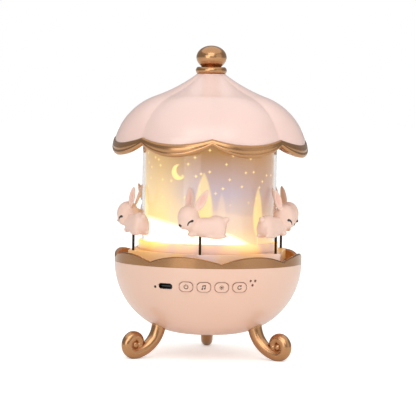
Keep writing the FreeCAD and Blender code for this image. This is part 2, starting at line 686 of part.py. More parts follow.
module = value("gear_module")
pitch_gear = value(PITCH_GEAR)
pitch_pinion = value(PITCH_PINION)
gear_face = gear_outline(int(value("gear_teeth")), pitch_gear, pitch_gear + 0.65 * module,
                         pitch_gear - 1.3 * module, 0.0)
gear_blank = gear_face.extrude(V(0, 0, value("gear_thick")))
gear_blank.translate(V(0, 0, value(GEAR_LOW)))
gear_cuts = [Part.makeCylinder(value(BUSH_OUT) + value("fit_gap") / 5, 40, V(0, 0, value(GEAR_LOW) - 5))]
gear_screw_spots = on_circle("screw_circle", ("30", "150", "270"))
for x, y in gear_screw_spots:
    bore = value("screw_radius + fit_gap")
    gear_cuts.append(Part.makeCylinder(bore, 40, V(value(x), value(y), value(GEAR_LOW) - 5)))
keep(feature("drive_gear", gear_blank.cut(gear_cuts)))

pinion_face = gear_outline(int(value("pinion_teeth")), pitch_pinion, pitch_pinion + 0.95 * module,
                           pitch_pinion - 1.0 * module, math.pi + math.pi / value("pinion_teeth"))
pinion_deep = value("gear_thick - 2 * pinion_play")
pinion_blank = pinion_face.extrude(V(0, 0, pinion_deep))
pinion_bore = Part.makeCylinder(value("shaft_radius") + value("fit_gap") / 5, 40, V(0, 0, -5))
pinion = feature("motor_pinion", pinion_blank.cut(pinion_bore))
keep(put(pinion, CENTRES, "0", f"{GEAR_LOW} + pinion_play"))
keep(cylinder("motor_shaft", "shaft_radius", f"{GEAR_TOP} - {DECK_LOW} + shaft_sink", CENTRES, "0",
              f"{DECK_LOW} - shaft_sink"))
keep(tube("bearing_bush", BUSH_OUT, BUSH_IN, f"{TABLE_TOP} - {GEAR_LOW} - seat_gap", GEAR_LOW))

MOTOR_TOP = f"({DECK_LOW} - seat_gap)"
motor_can = cylinder("motor_can", "motor_radius", "motor_height", CENTRES, "0", f"{MOTOR_TOP} - motor_height")
motor_boss = cylinder("motor_boss_ring", "motor_boss", "deck_thick", CENTRES, "0", MOTOR_TOP)
motor_lugs = box("motor_lugs", "lug_wide", "2 * lug_reach + lug_wide", "lug_thick", CENTRES, "0",
                 f"{MOTOR_TOP} - lug_thick")
motor_bore = cylinder("motor_bore", "shaft_radius + run_gap", "through_cut", CENTRES, "0",
                      f"{DECK_LOW} - shaft_sink - slide_gap")
motor_taps = drill("motor_tap", lug_spots, "screw_radius + fit_gap", f"{MOTOR_TOP} - lug_thick - over_cut",
                   "lug_thick + 2 * over_cut")
keep(cut("motor", join("motor_body", motor_can, motor_boss, motor_lugs), motor_bore, *motor_taps))
screws("motor_screws", lug_spots, f"{DECK_TOP} + seat_gap", "deck_thick + lug_thick + over_cut")

# Turning table with drum and film
count = int(value("rabbit_count"))


def table_corner_spot(angle, sign):
    """Where the corner rounding meets the straight edge on one side of a corner."""
    along = f"({angle} + {sign} * (180 - 90 * (1 - 2 / rabbit_count)))"
    reach = "(table_round * tan(180 / rabbit_count))"
    tip = f"({TABLE_CORNER} + table_round * (1 / cos(180 / rabbit_count) - 1))"
    return (f"{tip} * sin{angle} + {reach} * sin{along}", f"-{tip} * cos{angle} - {reach} * cos{along}")


table_path = []
for order in range(count):
    angle = f"(table_turn + {order} * 360 / rabbit_count)"
    first = table_corner_spot(angle, -1)
    last = table_corner_spot(angle, 1)
    table_path.append(first)
    table_path.append((last[0], last[1], "table_round"))
table_plate = padded("table_plate", table_path, SKIRT_LOW, "table_thick + table_skirt")
gear_room = cylinder("gear_room", GEAR_ROOM, "table_skirt + over_cut", z=f"{SKIRT_LOW} - over_cut")
rabbit_angles = [f"(table_turn + {order} * 360 / rabbit_count)" for order in range(count)]
pole_spots = on_circle(POLE_CIRCLE, rabbit_angles)
TABLE_CUT = (f"{TABLE_LOW} - over_cut", "table_thick + 2 * over_cut")
pole_holes = drill("pole_hole", pole_spots, "pole_radius + fit_gap / 5", *TABLE_CUT)
gear_holes = drill("gear_hole", gear_screw_spots, "screw_radius + fit_gap", *TABLE_CUT)
table_bore = cylinder("table_bore", f"{BUSH_OUT} + fit_gap / 5", TABLE_CUT[1], z=TABLE_CUT[0])
keep(cut("turntable", table_plate, gear_room, table_bore, *pole_holes, *gear_holes))
screws("turntable_screws", gear_screw_spots, f"{TABLE_TOP} + seat_gap", "table_thick + gear_thick - 0.6")
keep(turned("drum_foot", [
    (f"{DRUM_IN} - foot_lip", FOOT_LOW),
    (f"{DRUM_RADIUS} + fit_gap + foot_wall", FOOT_LOW),
    (f"{DRUM_RADIUS} + fit_gap + foot_wall", f"{FOOT_LOW} + foot_height - foot_wall * 0.6"),
    (f"{DRUM_RADIUS} + fit_gap + foot_wall * 0.4", f"{FOOT_LOW} + foot_height", "foot_wall * 0.6"),
    (f"{DRUM_RADIUS} + fit_gap", f"{FOOT_LOW} + foot_height"),
    (f"{DRUM_RADIUS} + fit_gap", f"{FOOT_LOW} + foot_ledge"),
    (f"{DRUM_IN} - foot_lip", f"{FOOT_LOW} + foot_ledge"),
]))
keep(tube("clear_drum", DRUM_RADIUS, DRUM_IN, "drum_height", DRUM_LOW))
keep(tube("film_sleeve", FILM_OUT, f"{FILM_OUT} - film_thick", "drum_height - film_short", DRUM_LOW))


# Rabbits on their poles
def closed_curve(points):
    curve = Part.BSplineCurve()
    curve.interpolate([V(x, 0, z) for x, z in points], PeriodicFlag=True)
    return Part.Wire(curve.toShape())


def pillow(points, thick):
    """Soft slab: the outline lofted across its thickness, drawn in towards both sides."""
    cx = sum(x for x, z in points) / len(points)
    cz = sum(z for x, z in points) / len(points)
    wires = []
    for step in (-1, -0.92, -0.72, -0.36, 0, 0.36, 0.72, 0.92, 1):
        place = step / 2
        share = 0.45 + 0.55 * (1 - abs(step) ** 3.4) ** 0.5
        inset = [(cx + (x - cx) * share, cz + (z - cz) * share) for x, z in points]
        wire = closed_curve(inset)
        wire.translate(V(0, place * thick, 0))
        wires.append(wire)
    return Part.makeLoft(wires, True, False)


def ear(root_x, root_z, lean, side):
    long = value("ear_long")
    half = value("ear_wide") / 2
    shape = pillow([(0, 0), (half * 0.75, long * 0.18), (half, long * 0.45), (half * 0.72, long * 0.75),
                    (0, long), (-half * 0.72, long * 0.75), (-half, long * 0.45), (-half * 0.75, long * 0.18)],
                   value("ear_thick"))
    shape.rotate(ORIGIN, V(1, 0, 0), -side * 6)
    shape.rotate(ORIGIN, V(0, 1, 0), lean)
    shape.translate(V(root_x, side * value("ear_apart"), root_z))
    return shape


def rabbit_shape():
    """Rabbit facing +X, belly level and pole axis at the origin."""
    back = -value("body_back")
    chest = value("body_front")
    high = value("body_high")
    thick = value("body_thick")
    head = value("head_radius")
    head_x = value("head_ahead")
    head_z = value("head_up")
    trunk = pillow([(back, high * 0.42), (back + 0.3, high * 0.78), (back + 3, high * 0.96),
                    (back * 0.4, high), (chest * 0.1, high * 0.9), (chest - 0.9, high * 0.6),
                    (chest - 0.5, high * 0.24), (chest - 2.6, 0.1), (chest * 0.1, -0.2),
                    (back * 0.35, -1.0), (back * 0.7, -1.5), (back + 1.2, -1.1)], thick)
    skull = Part.makeSphere(head, V(head_x, 0, head_z))
    snout = Part.makeSphere(head * 0.5, V(head_x + head * 0.5, 0, head_z - head * 0.58))
    tail = Part.makeSphere(1.6, V(back + 0.8, 0, high * 0.84))
    fore = Part.makeSphere(1.7, V(chest - 1.6, 2.2, 1.2))
    fore_far = Part.makeSphere(1.7, V(chest - 1.6, -2.2, 1.2))
    hind = Part.makeSphere(1.9, V(back + 1.4, 2.4, 0.4))
    hind_far = Part.makeSphere(1.9, V(back + 1.4, -2.4, 0.4))
    near = ear(head_x - head * 0.1, head_z + head * 0.62, -8, 1)
    far = ear(head_x - head * 0.55, head_z + head * 0.55, -33, -1)
    body = trunk.fuse([skull, snout, tail, fore, fore_far, hind, hind_far, near, far])
    bore = Part.makeCylinder(value("pole_radius") + value("fit_gap") / 5, value("pole_sink") + 9, V(0, 0, -9))
    return body.cut(bore)


rabbit = rabbit_shape()
for order, (x, y) in enumerate(pole_spots, 1):
    pole_long = "table_thick + pole_show + pole_sink - seat_gap"
    keep(cylinder(f"pole_{order}", "pole_radius", pole_long, x, y, TABLE_LOW))
    against = order == 2
    heading = f"{rabbit_angles[order - 1]} + {0 if against else 180}"
    keep(put(feature(f"rabbit_{order}", rabbit), x, y, BELLY, heading))


# Roof: lobed shell, plate, gold trim and finial
def roof_lows(lift):
    trim = value(TRIM_LINE)
    top = trim + value("trim_cusp_top") - (value("trim_cusp_top") + value("trim_lobe_top")) * lift
    low = trim - value("trim_cusp_low") - (value("trim_lobe_low") - value("trim_cusp_low")) * lift
    return top, low


def roof_curve(lift, inset):
    """Corner radii and heights of the roof slope, drawn in by the inset."""
    grow = 1 + value("roof_bulge") * lift
    bend = math.radians(20)
    edge = math.radians(73)
    return (
        (value("roof_top_radius"), value(ROOF_TOP) - inset / math.cos(math.radians(37))),
        (value("roof_bend_radius") * grow - inset * math.sin(bend), value(ROOF_BEND) - inset * math.cos(bend)),
        (value("roof_edge_radius") * grow - inset * math.sin(edge), value(TRIM_LINE) - inset * math.cos(edge)),
    )


def roof_profile(lift):
    wall = value("roof_wall")
    hollow = value("roof_hollow")
    swell = value("roof_swell")
    top, bend, edge = roof_curve(lift, 0)
    top_in, bend_in, edge_in = roof_curve(lift, wall)
    low = roof_lows(lift)[1] + value("trim_lip") + value("fit_gap")
    return [
        top,
        (bend[0], bend[1], -hollow),
        (edge[0], edge[1], swell),
        (edge[0] + 0.3, low),
        (edge[0] + 0.3 - wall, low),
        (edge_in[0], edge_in[1]),
        (bend_in[0], bend_in[1], -swell * 0.94),
        (top_in[0], top_in[1], hollow),
    ]


def trim_profile(lift):
    out = value("trim_out")
    lip = value("trim_lip")
    gap = value("fit_gap")
    edge = roof_curve(lift, 0)[2][0] + 0.3
    top, low = roof_lows(lift)
    tall = top - low
    return [
        (edge + gap, top),
        (edge + out, low + tall * 0.42, tall * 0.07),
        (edge + out * 0.55, low, tall * 0.1),
        (edge - value("roof_wall"), low + lip * 0.25),
        (edge - value("roof_wall"), low + lip),
        (edge + gap, low + lip),
    ]


roof_turn = value("roof_turn")
roof_petals = petals(roof_profile, roof_turn)
crown = Part.makeCylinder(value("roof_top_radius") + 0.4, value("roof_wall"),
                          V(0, 0, value(ROOF_TOP) - value("roof_wall")))
core_top, core_bend, core_edge = roof_curve(0, value("roof_wall") * 0.5)
core_low = value(PLATE_TOP) + value("seat_gap")
core_edges = [
    Part.LineSegment(V(0, 0, core_low), V(0, 0, core_top[1])).toShape(),
    Part.LineSegment(V(0, 0, core_top[1]), V(core_top[0], 0, core_top[1])).toShape(),
    Part.LineSegment(V(core_top[0], 0, core_top[1]), V(core_bend[0], 0, core_bend[1])).toShape(),
    Part.LineSegment(V(core_bend[0], 0, core_bend[1]), V(core_bend[0], 0, core_low)).toShape(),
    Part.LineSegment(V(core_bend[0], 0, core_low), V(0, 0, core_low)).toShape(),
]
core = Part.Face(Part.Wire(core_edges)).revolve(ORIGIN, UP, 360)
BOSS_ANGLES = ("24", "114", "204", "294")
boss_spots = on_circle("boss_circle", BOSS_ANGLES)
roof_solids = [crown]
screw_bore = value("screw_radius + fit_gap")
roof_rise = value(ROOF_TOP) - core_low
roof_cuts = [Part.makeCylinder(screw_bore, roof_rise, V(0, 0, value(ROOF_TOP) - roof_rise / 2))]
for x, y in boss_spots:
    spot = V(value(x), value(y), core_low)
    roof_solids.append(Part.makeCylinder(value("post_radius"), roof_rise, spot).common(core))
    roof_cuts.append(Part.makeCylinder(screw_bore, value("plate_screw_long + over_cut"), spot))
keep(feature("roof_shell", roof_petals.fuse(roof_solids).cut(roof_cuts)))
keep(feature("roof_trim", petals(trim_profile, roof_turn)))

plate_blank = turned("plate_blank", [
    ("0", ROOF_SEAT),
    (f"{DRUM_RADIUS} + slide_gap", ROOF_SEAT),
    (f"{DRUM_RADIUS} + slide_gap", f"{ROOF_SEAT} - plate_ring"),
    (f"{DRUM_RADIUS} + slide_gap + plate_ring_wall", f"{ROOF_SEAT} - plate_ring"),
    (f"{DRUM_RADIUS} + slide_gap + plate_ring_wall", ROOF_SEAT),
    (PLATE_RADIUS, ROOF_SEAT),
    (PLATE_RADIUS, PLATE_TOP),
    ("0", PLATE_TOP),
])
plate_holes = drill("plate_hole", boss_spots, "screw_radius + fit_gap", f"{ROOF_SEAT} - over_cut",
                    "plate_thick + 2 * over_cut")
keep(cut("roof_plate", plate_blank, *plate_holes))
screws("roof_plate_screws", boss_spots, f"{ROOF_SEAT} - seat_gap", "plate_thick + plate_screw_long", head_up=False)

keep(turned("finial_collar", [
    ("screw_radius + fit_gap", f"{ROOF_TOP} + seat_gap"),
    ("finial_collar_radius - 0.8", f"{ROOF_TOP} + seat_gap"),
    ("finial_collar_radius - 0.8", f"{ROOF_TOP} + seat_gap + finial_collar_high", "finial_collar_high * 0.62"),
    ("screw_radius + fit_gap", f"{ROOF_TOP} + seat_gap + finial_collar_high"),
]))
KNOB_CAP = "((finial_radius * 0.824) ^ 2 + (finial_high * 0.24) ^ 2) / (2 * finial_high * 0.24)"
keep(turned("finial_knob", [
    ("screw_radius + fit_gap", KNOB_LOW),
    ("finial_neck", KNOB_LOW),
    ("finial_radius", f"{KNOB_LOW} + finial_high * 0.46", "finial_high * 0.55"),
    ("finial_radius * 0.824", f"{KNOB_LOW} + finial_high * 0.76", "finial_radius * 0.61"),
    ("0", f"{KNOB_LOW} + finial_high", KNOB_CAP),
    ("0", f"{KNOB_LOW} + finial_high * 0.6"),
    ("screw_radius + fit_gap", f"{KNOB_LOW} + finial_high * 0.6"),
]))
screws("finial_screw", [("0", "0")], f"{ROOF_TOP} - roof_wall - seat_gap",
       "roof_wall + finial_collar_high + finial_high * 0.55", head_up=False)

# Buttons, switches and sockets behind the bowl wall
BUTTON_NAMES = ("button_power", "button_music", "button_light", "button_spin")
SWITCH_FRONT = f"({SWITCH_BOARD} + switch_deep + switch_pin)"
FLANGE_LOW_R = (f"({BOWL_FLAT} + sqrt((bowl_curve - bowl_wall) ^ 2"
                " - (control_drop + button_tall / 2 + button_flange) ^ 2))")
switches = []
for name, place in zip(BUTTON_NAMES, button_places):
    half = f"(abs({place}) + button_wide / 2 + button_flange)"
    wall_y = f"sqrt({FLANGE_LOW_R} ^ 2 - {half} ^ 2)"
    back_y = f"({wall_y} - slide_gap / 2 - button_flange)"
    face = round_bar(name + "_face", "button_wide", "button_tall", "button_corner",
                     "through_cut", place, f"-{back_y}", CONTROL_Z)
    flange = round_bar(name + "_rear", "button_wide + 2 * button_flange", "button_tall + 2 * button_flange",
                       "button_corner + button_flange", "through_cut", place, f"-{back_y}", CONTROL_Z)
    cap = shared(name + "_cap", face, bowl_proud)
    stop = shared(name + "_stop", flange, bowl_press)
    stem = cylinder(name + "_stem", "stem_radius",
                    f"{back_y} - {SWITCH_FRONT} - button_travel - fit_gap + button_flange / 2", place,
                    f"-({SWITCH_FRONT} + button_travel + fit_gap)", CONTROL_Z)
    stem.Placement.Rotation = FreeCAD.Rotation(V(1, 0, 0), 90)
    keep(join(name, cap, stop, stem))
    body = box(name + "_switch", "switch_side", "switch_deep", "switch_side", place,
               f"-({SWITCH_BOARD} + seat_gap + switch_deep / 2)", f"{CONTROL_Z} - switch_side / 2")
    pin = cylinder(name + "_pin", "switch_pin_radius", "switch_pin + over_cut", place,
                   f"-({SWITCH_BOARD} + switch_deep - over_cut)", CONTROL_Z)
    pin.Placement.Rotation = FreeCAD.Rotation(V(1, 0, 0), 90)
    switches.append(join(name + "_contact", body, pin))
keep(group("tact_switches", switches))
keep(box("button_board", "3 * button_pitch + switch_side + 2 * switch_board_margin", "board_thick",
         "control_drop + switch_board_below - deck_drop", "button_shift", f"board_thick / 2 - {SWITCH_BOARD}",
         f"{CONTROL_Z} - switch_board_below - seat_gap"))

usb_at = (f"{USB_BACK} * sin(usb_turn)", f"-{USB_BACK} * cos(usb_turn)", USB_Z, "usb_turn")
usb_shell = round_bar("usb_shell", "usb_wide", "usb_tall", "usb_tall * 0.45", "usb_deep", *usb_at)
USB_WELL = f"({USB_BACK} + over_cut)"
usb_well = round_bar("usb_well", "usb_wide - 2 * usb_wall", "usb_tall - 2 * usb_wall",
                     "usb_tall * 0.45 - usb_wall", "usb_deep", f"{USB_WELL} * sin(usb_turn)",
                     f"-{USB_WELL} * cos(usb_turn)", USB_Z, "usb_turn")
usb_tongue = round_bar("usb_tongue", "tongue_wide", "tongue_thick", "tongue_thick * 0.3",
                       "usb_deep - tongue_short", *usb_at)
keep(join("usb_socket", cut("usb_case", usb_shell, usb_well), usb_tongue))
LED_BACK = f"(({USB_BACK} + led_radius * sin(abs(led_turn)) + fit_gap) / cos(led_turn))"
keep(outward("status_led", "led_radius", f"{USB_MOUTH} + fit_gap - {LED_BACK}", LED_BACK, LED_ANGLE, LED_Z))
charge_board = doc.addObject("Part::Box", "charge_board")
bind(charge_board, Length="charge_board_long", Width="board_thick",
     Height="usb_drop + charge_board_below - deck_drop")
CHARGE_FRONT = f"({USB_BACK} - seat_gap)"
put(charge_board, f"{CHARGE_FRONT} * sin(usb_turn) - charge_board_side * cos(usb_turn)",
    f"-{CHARGE_FRONT} * cos(usb_turn) - charge_board_side * sin(usb_turn)",
    f"{USB_Z} - charge_board_below - seat_gap", "usb_turn")
keep(charge_board)

# Speaker, battery and main board
keep(tube("speaker_gasket", SPEAKER_RADIUS, f"{SPEAKER_RADIUS} - gasket_wide", "gasket_thick",
          f"{BOWL_FLOOR} + seat_gap"))
keep(turned("speaker", [
    ("0", f"{SPEAKER_LOW} + cone_rise"),
    (f"{SPEAKER_RADIUS} * 0.35", f"{SPEAKER_LOW} + cone_rise"),
    (f"{SPEAKER_RADIUS} - gasket_wide", f"{SPEAKER_LOW} + frame_deep / 2"),
    (f"{SPEAKER_RADIUS} - gasket_wide * 0.8", SPEAKER_LOW),
    (SPEAKER_RADIUS, SPEAKER_LOW),
    (SPEAKER_RADIUS, f"{SPEAKER_LOW} + frame_deep"),
    (f"{SPEAKER_RADIUS} * 0.62", f"{SPEAKER_LOW} + speaker_high * 0.5"),
    (f"{SPEAKER_RADIUS} * 0.62", f"{SPEAKER_LOW} + speaker_high"),
    ("0", f"{SPEAKER_LOW} + speaker_high"),
]))
cell = cylinder("battery", "cell_radius", "cell_long", "-cell_long / 2", CELL_BACK, CELL_Z)
cell.Placement.Rotation = FreeCAD.Rotation(V(0, 1, 0), 90)
keep(cell)
cradle_block = box("cradle_block", "cradle_long", "cradle_wide", f"{CELL_Z} - floor_gap", "0", CELL_BACK,
                   "floor_gap")
cradle_bed = cylinder("cradle_bed", "cell_radius + seat_gap", "cell_long", "-cell_long / 2", CELL_BACK, CELL_Z)
cradle_bed.Placement.Rotation = FreeCAD.Rotation(V(0, 1, 0), 90)
keep(cut("battery_cradle", shared("cradle_body", cradle_block, bowl_inside), cradle_bed))
keep(box("main_board", "main_long", "main_wide", "board_thick", "0", "-main_ahead", MAIN_LOW))


# Scroll legs
def leg_shape():
    """Leg in the radial plane, growing from the bowl out to the scroll."""
    root_r = value("leg_root")
    end_r = value("leg_end")
    ring = value("scroll_radius")
    bend = value("stem_bend")
    eye = V(value(f"{LEG_CIRCLE} + scroll_reach"), 0, ring + end_r - value("foot_flat"))
    root = V(value(LEG_CIRCLE), 0, value("floor_gap + leg_sink"))
    reach = eye - root
    near = bend - ring
    spread = math.acos((bend ** 2 + reach.Length ** 2 - near ** 2) / (2 * bend * reach.Length))
    aim = math.atan2(reach.z, reach.x) + spread
    hub = root + V(math.cos(aim), 0, math.sin(aim)) * bend
    meet = eye + (eye - hub).normalize() * ring

    def on_arc(centre, radius, angle):
        return centre + V(math.cos(angle), 0, math.sin(angle)) * radius

    start = math.atan2(root.z - hub.z, root.x - hub.x) % (2 * math.pi)
    join_at = math.atan2(meet.z - hub.z, meet.x - hub.x) % (2 * math.pi)
    curl = math.atan2(meet.z - eye.z, meet.x - eye.x)
    stem = Part.Arc(root, on_arc(hub, bend, (start + join_at) / 2), meet).toShape()
    top_at = curl + math.radians(175)
    over = Part.Arc(meet, on_arc(eye, ring, (curl + top_at) / 2), on_arc(eye, ring, top_at)).toShape()
    end_at = curl + math.radians(285)
    back_at = top_at - math.radians(12)
    tip = on_arc(eye, ring * 0.62, end_at)
    tail = Part.Arc(on_arc(eye, ring, back_at), on_arc(eye, ring * 0.9, (back_at + end_at) / 2), tip).toShape()

    def ring_wire(edge, share, radius):
        spot = edge.valueAt(edge.FirstParameter + (edge.LastParameter - edge.FirstParameter) * share)
        way = edge.tangentAt(edge.FirstParameter + (edge.LastParameter - edge.FirstParameter) * share)
        return Part.Wire(Part.Circle(spot, way, radius).toShape())

    def sweep(edges, rings):
        shell = Part.BRepOffsetAPI.MakePipeShell(Part.Wire(edges))
        shell.setFrenetMode(True)
        for wire in rings:
            shell.add(wire)
        shell.build()
        shell.makeSolid()
        return shell.shape()

    rings = [ring_wire(stem, 0, root_r), ring_wire(over, 0, end_r), ring_wire(over, 1, end_r)]
    first = sweep([stem, over], rings)
    second = sweep([tail], [ring_wire(tail, 0, end_r * 0.985), ring_wire(tail, 1, end_r * 0.62)])
    close = Part.makeSphere(end_r * 0.68, tip)
    bead = Part.makeSphere(value("bead_radius"), eye)
    leg = first.fuse([second, close, bead])
    wide = 4 * eye.x
    floor = Part.makeBox(wide, wide, ring, V(-wide / 2, -wide / 2, -ring))
    sink = value("leg_sink")
    screw = Part.makeCylinder(value("screw_radius + fit_gap"), 2 * sink, root - V(0, 0, sink))
    return leg.cut([floor, screw])


leg_solid = leg_shape()
for order, angle in enumerate(LEG_ANGLES, 1):
    place = FreeCAD.Placement(ORIGIN, FreeCAD.Rotation(UP, value(f"{angle} - 90")))
    seat = bowl_around.Shape.copy()
    shape = leg_solid.copy()
    shape.Placement = place
    keep(feature(f"leg_{order}", shape.cut(seat)))
screws("leg_screws", leg_spots, f"{LEG_BOSS_TOP} + seat_gap", "leg_screw_long")

doc.recompute()

# Check every object, then write one file for each piece
for obj in doc.Objects:
    if "Invalid" in obj.State or "Error" in obj.State:
        raise RuntimeError(f"{obj.Name} did not build")
os.makedirs("parts", exist_ok=True)
for obj in NODES:
    if obj.Shape.isNull() or not obj.Shape.isValid():
        raise RuntimeError(f"{obj.Label} has no valid shape")
    obj.Shape.exportStep(f"parts/{obj.Label}.step")
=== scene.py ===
"""Carousel music box: the finishes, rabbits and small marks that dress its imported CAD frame."""

import math

import bmesh
import bpy
from bpy.props import FloatProperty, FloatVectorProperty, PointerProperty
from bpy.types import Operator, Panel, PropertyGroup
from mathutils import Matrix, Vector
from mathutils.bvhtree import BVHTree


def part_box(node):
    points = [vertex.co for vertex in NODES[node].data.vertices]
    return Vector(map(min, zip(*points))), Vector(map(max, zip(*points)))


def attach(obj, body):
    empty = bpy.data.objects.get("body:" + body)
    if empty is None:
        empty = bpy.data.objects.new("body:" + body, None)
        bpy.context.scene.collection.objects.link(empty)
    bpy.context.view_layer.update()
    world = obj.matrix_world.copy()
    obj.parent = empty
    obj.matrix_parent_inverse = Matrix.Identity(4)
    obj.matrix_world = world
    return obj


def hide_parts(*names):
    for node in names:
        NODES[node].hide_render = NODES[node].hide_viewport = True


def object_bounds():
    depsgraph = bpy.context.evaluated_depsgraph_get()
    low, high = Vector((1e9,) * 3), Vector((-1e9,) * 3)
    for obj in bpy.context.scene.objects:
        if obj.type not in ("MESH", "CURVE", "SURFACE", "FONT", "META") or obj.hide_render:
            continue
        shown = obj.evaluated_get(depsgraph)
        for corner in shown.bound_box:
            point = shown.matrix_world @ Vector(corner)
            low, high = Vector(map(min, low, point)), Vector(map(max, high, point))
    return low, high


bl_info = {
    "name": "Carousel music box",
    "version": (1, 0, 0),
    "blender": (4, 5, 0),
    "location": "View3D > Sidebar > Music box",
    "description": "Finishes and fine pieces of a lit carousel music box with rabbits",
    "category": "Object",
}

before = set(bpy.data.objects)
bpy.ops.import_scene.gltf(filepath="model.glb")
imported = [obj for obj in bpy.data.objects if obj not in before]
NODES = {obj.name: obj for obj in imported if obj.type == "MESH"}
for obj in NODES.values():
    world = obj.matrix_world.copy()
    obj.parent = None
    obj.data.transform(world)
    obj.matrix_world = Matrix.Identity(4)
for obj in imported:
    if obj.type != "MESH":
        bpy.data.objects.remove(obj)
CAD_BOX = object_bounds()
MM = 0.001
PIXELS = 416
WELD = 0.001 * MM
SMOOTH_ANGLE = math.radians(32)

# Counts and sizes that follow the CAD pieces, and the painted shade and painted lamp glow of those near
# the lamp
RABBITS = 6
BACKWARD_RABBIT = 2
POLE_SINK = 5.0 * MM
LOBES = 8
ROOF_CREASE = 0.03
RIM_WALL = 2.2 * MM
# Share that darkens the bowl rim's gold: painted shade
RIM_PAINTED_SHADE = 0.74
FOOT_GLOW = 1.2
TABLE_GLOW = 0.25
LENS_POWER = 2.0
CHIP_POWER = 6.0
CELL_BAND = 8 * MM


def linear(red, green, blue):
    """Scene-linear colour of display values from 0 to 255."""
    shares = [part / 255 for part in (red, green, blue)]
    return tuple(s / 12.92 if s <= 0.04045 else ((s + 0.055) / 1.055) ** 2.4 for s in shares)


def dimmed(tone, share):
    """Colour times a share."""
    return tuple(part * share for part in tone)


# Plain colours, and those of the clear wall, the lamp, the works inside and the floor
BLACK = (0.0, 0.0, 0.0)
WHITE = (1.0, 1.0, 1.0)
CLEAR_TINT = linear(255, 250, 246)
LENS_LIGHT = linear(255, 238, 200)
CHIP_LIGHT = linear(255, 214, 120)
STEEL = linear(196, 196, 200)
WHITE_PLASTIC = linear(236, 232, 224)
BEARING_PLASTIC = linear(222, 214, 190)
BEARING_DEEP = linear(206, 196, 170)
SOLDER_MASK = linear(22, 74, 44)
BOARD_TRACK = linear(58, 122, 72)
CELL_WRAP = linear(44, 92, 160)
CELL_END = linear(206, 208, 212)
SPEAKER_PAPER = linear(38, 36, 36)
SPEAKER_DEEP = linear(22, 21, 21)
GASKET_FOAM = linear(64, 62, 60)
SOCKET_BLACK = linear(26, 22, 22)
SOCKET_DEEP = linear(14, 12, 12)
FLOOR_PAPER = linear(250, 250, 249)


def colour(name, description, *display):
    """Setting for a colour, whose default is given in display values."""
    return FloatVectorProperty(
        name=name, description=description, subtype="COLOR", size=3, min=0.0, max=1.0,
        default=linear(*display))


def length(name, description, millimetres):
    """Setting for a length, whose default is given in millimetres."""
    return FloatProperty(
        name=name, description=description, subtype="DISTANCE", unit="LENGTH", min=0.0,
        default=millimetres * MM)


def angle(name, description, radians):
    """Setting for an angle."""
    return FloatProperty(name=name, description=description, subtype="ANGLE", default=radians)


def amount(name, description, default):
    """Setting for a plain number."""
    return FloatProperty(name=name, description=description, min=0.0, default=default)


class MusicBoxColours(PropertyGroup):
    """Colours of the finishes."""

    pink: colour("Pink", "Moulded roof", 242, 211, 201)
    pink_deep: colour("Deep pink", "Shaded tone of the roof", 240, 206, 195)
    # The bowl's pinks are the roof's pink made darker and warmer: painted shade. The buttons share them
    bowl: colour("Bowl pink", "Moulded bowl and buttons", 237, 200, 179)
    bowl_deep: colour("Deep bowl pink", "Shaded tone of the bowl", 235, 191, 167)
    gold: colour("Gold", "Champagne paint", 202, 154, 110)
    gold_deep: colour("Deep gold", "Darker flakes of the paint", 128, 84, 50)
    rabbit: colour("Rabbit", "Rabbit bodies", 241, 206, 189)
    blush: colour("Blush", "Inside of the ears", 242, 172, 156)
    ink: colour("Ink", "Eyes and noses", 14, 9, 8)
    wire: colour("Wire", "Rabbit poles", 62, 44, 24)
    sky: colour("Sky", "Film behind the landscape", 184, 170, 180)
    film_shade: colour("Dusk", "Top and sides of the film", 166, 120, 58)
    # Painted shade and painted reflection of the gold trim, for the film's top under the roof and its
    # sides
    haze: colour("Haze", "Film above the snow", 228, 204, 178)
    snow: colour("Snow", "Lit hills on the film", 255, 246, 222)
    crown: colour("Tree crown", "Lit trees on the film", 252, 228, 148)
    ember: colour("Ember", "Lowest edge of the film", 255, 196, 70)
    lamp: colour("Lamp light", "Lamp's light on the gold", 226, 128, 34)
    mark: colour("Marks", "Printed button signs", 84, 56, 44)


class MusicBoxSizes(PropertyGroup):
    """Sizes of the fine pieces."""

    skin_grain: length("Skin grain", "Cell of the rabbit skin's mesh", 0.36)
    eye_grain: length("Eye grain", "Cell of the eye stroke's mesh", 0.13)
    eye_thin: length("Eye thin end", "Radius of the stroke beside the nose", 0.4)
    eye_thick: length("Eye thick end", "Radius of the stroke at its upper end", 0.85)
    ear_long: length("Ear length", "Rabbit ear from root to tip", 14.4)
    ear_wide: length("Ear width", "Rabbit ear across its middle", 5.3)
    ear_thick: length("Ear thickness", "Rabbit ear before it is dished", 2.5)
    knob_neck: length("Knob neck", "Radius of the finial's neck", 6.2)
    knob_neck_high: length("Knob neck height", "Finial's neck under its ball", 0.5)
    mark_line: length("Mark line", "Line width of the button signs", 0.48)
    mark_deep: length("Mark depth", "Thickness of the button signs", 0.08)
    mark_radius: length("Mark radius", "Round of the button signs", 1.2)


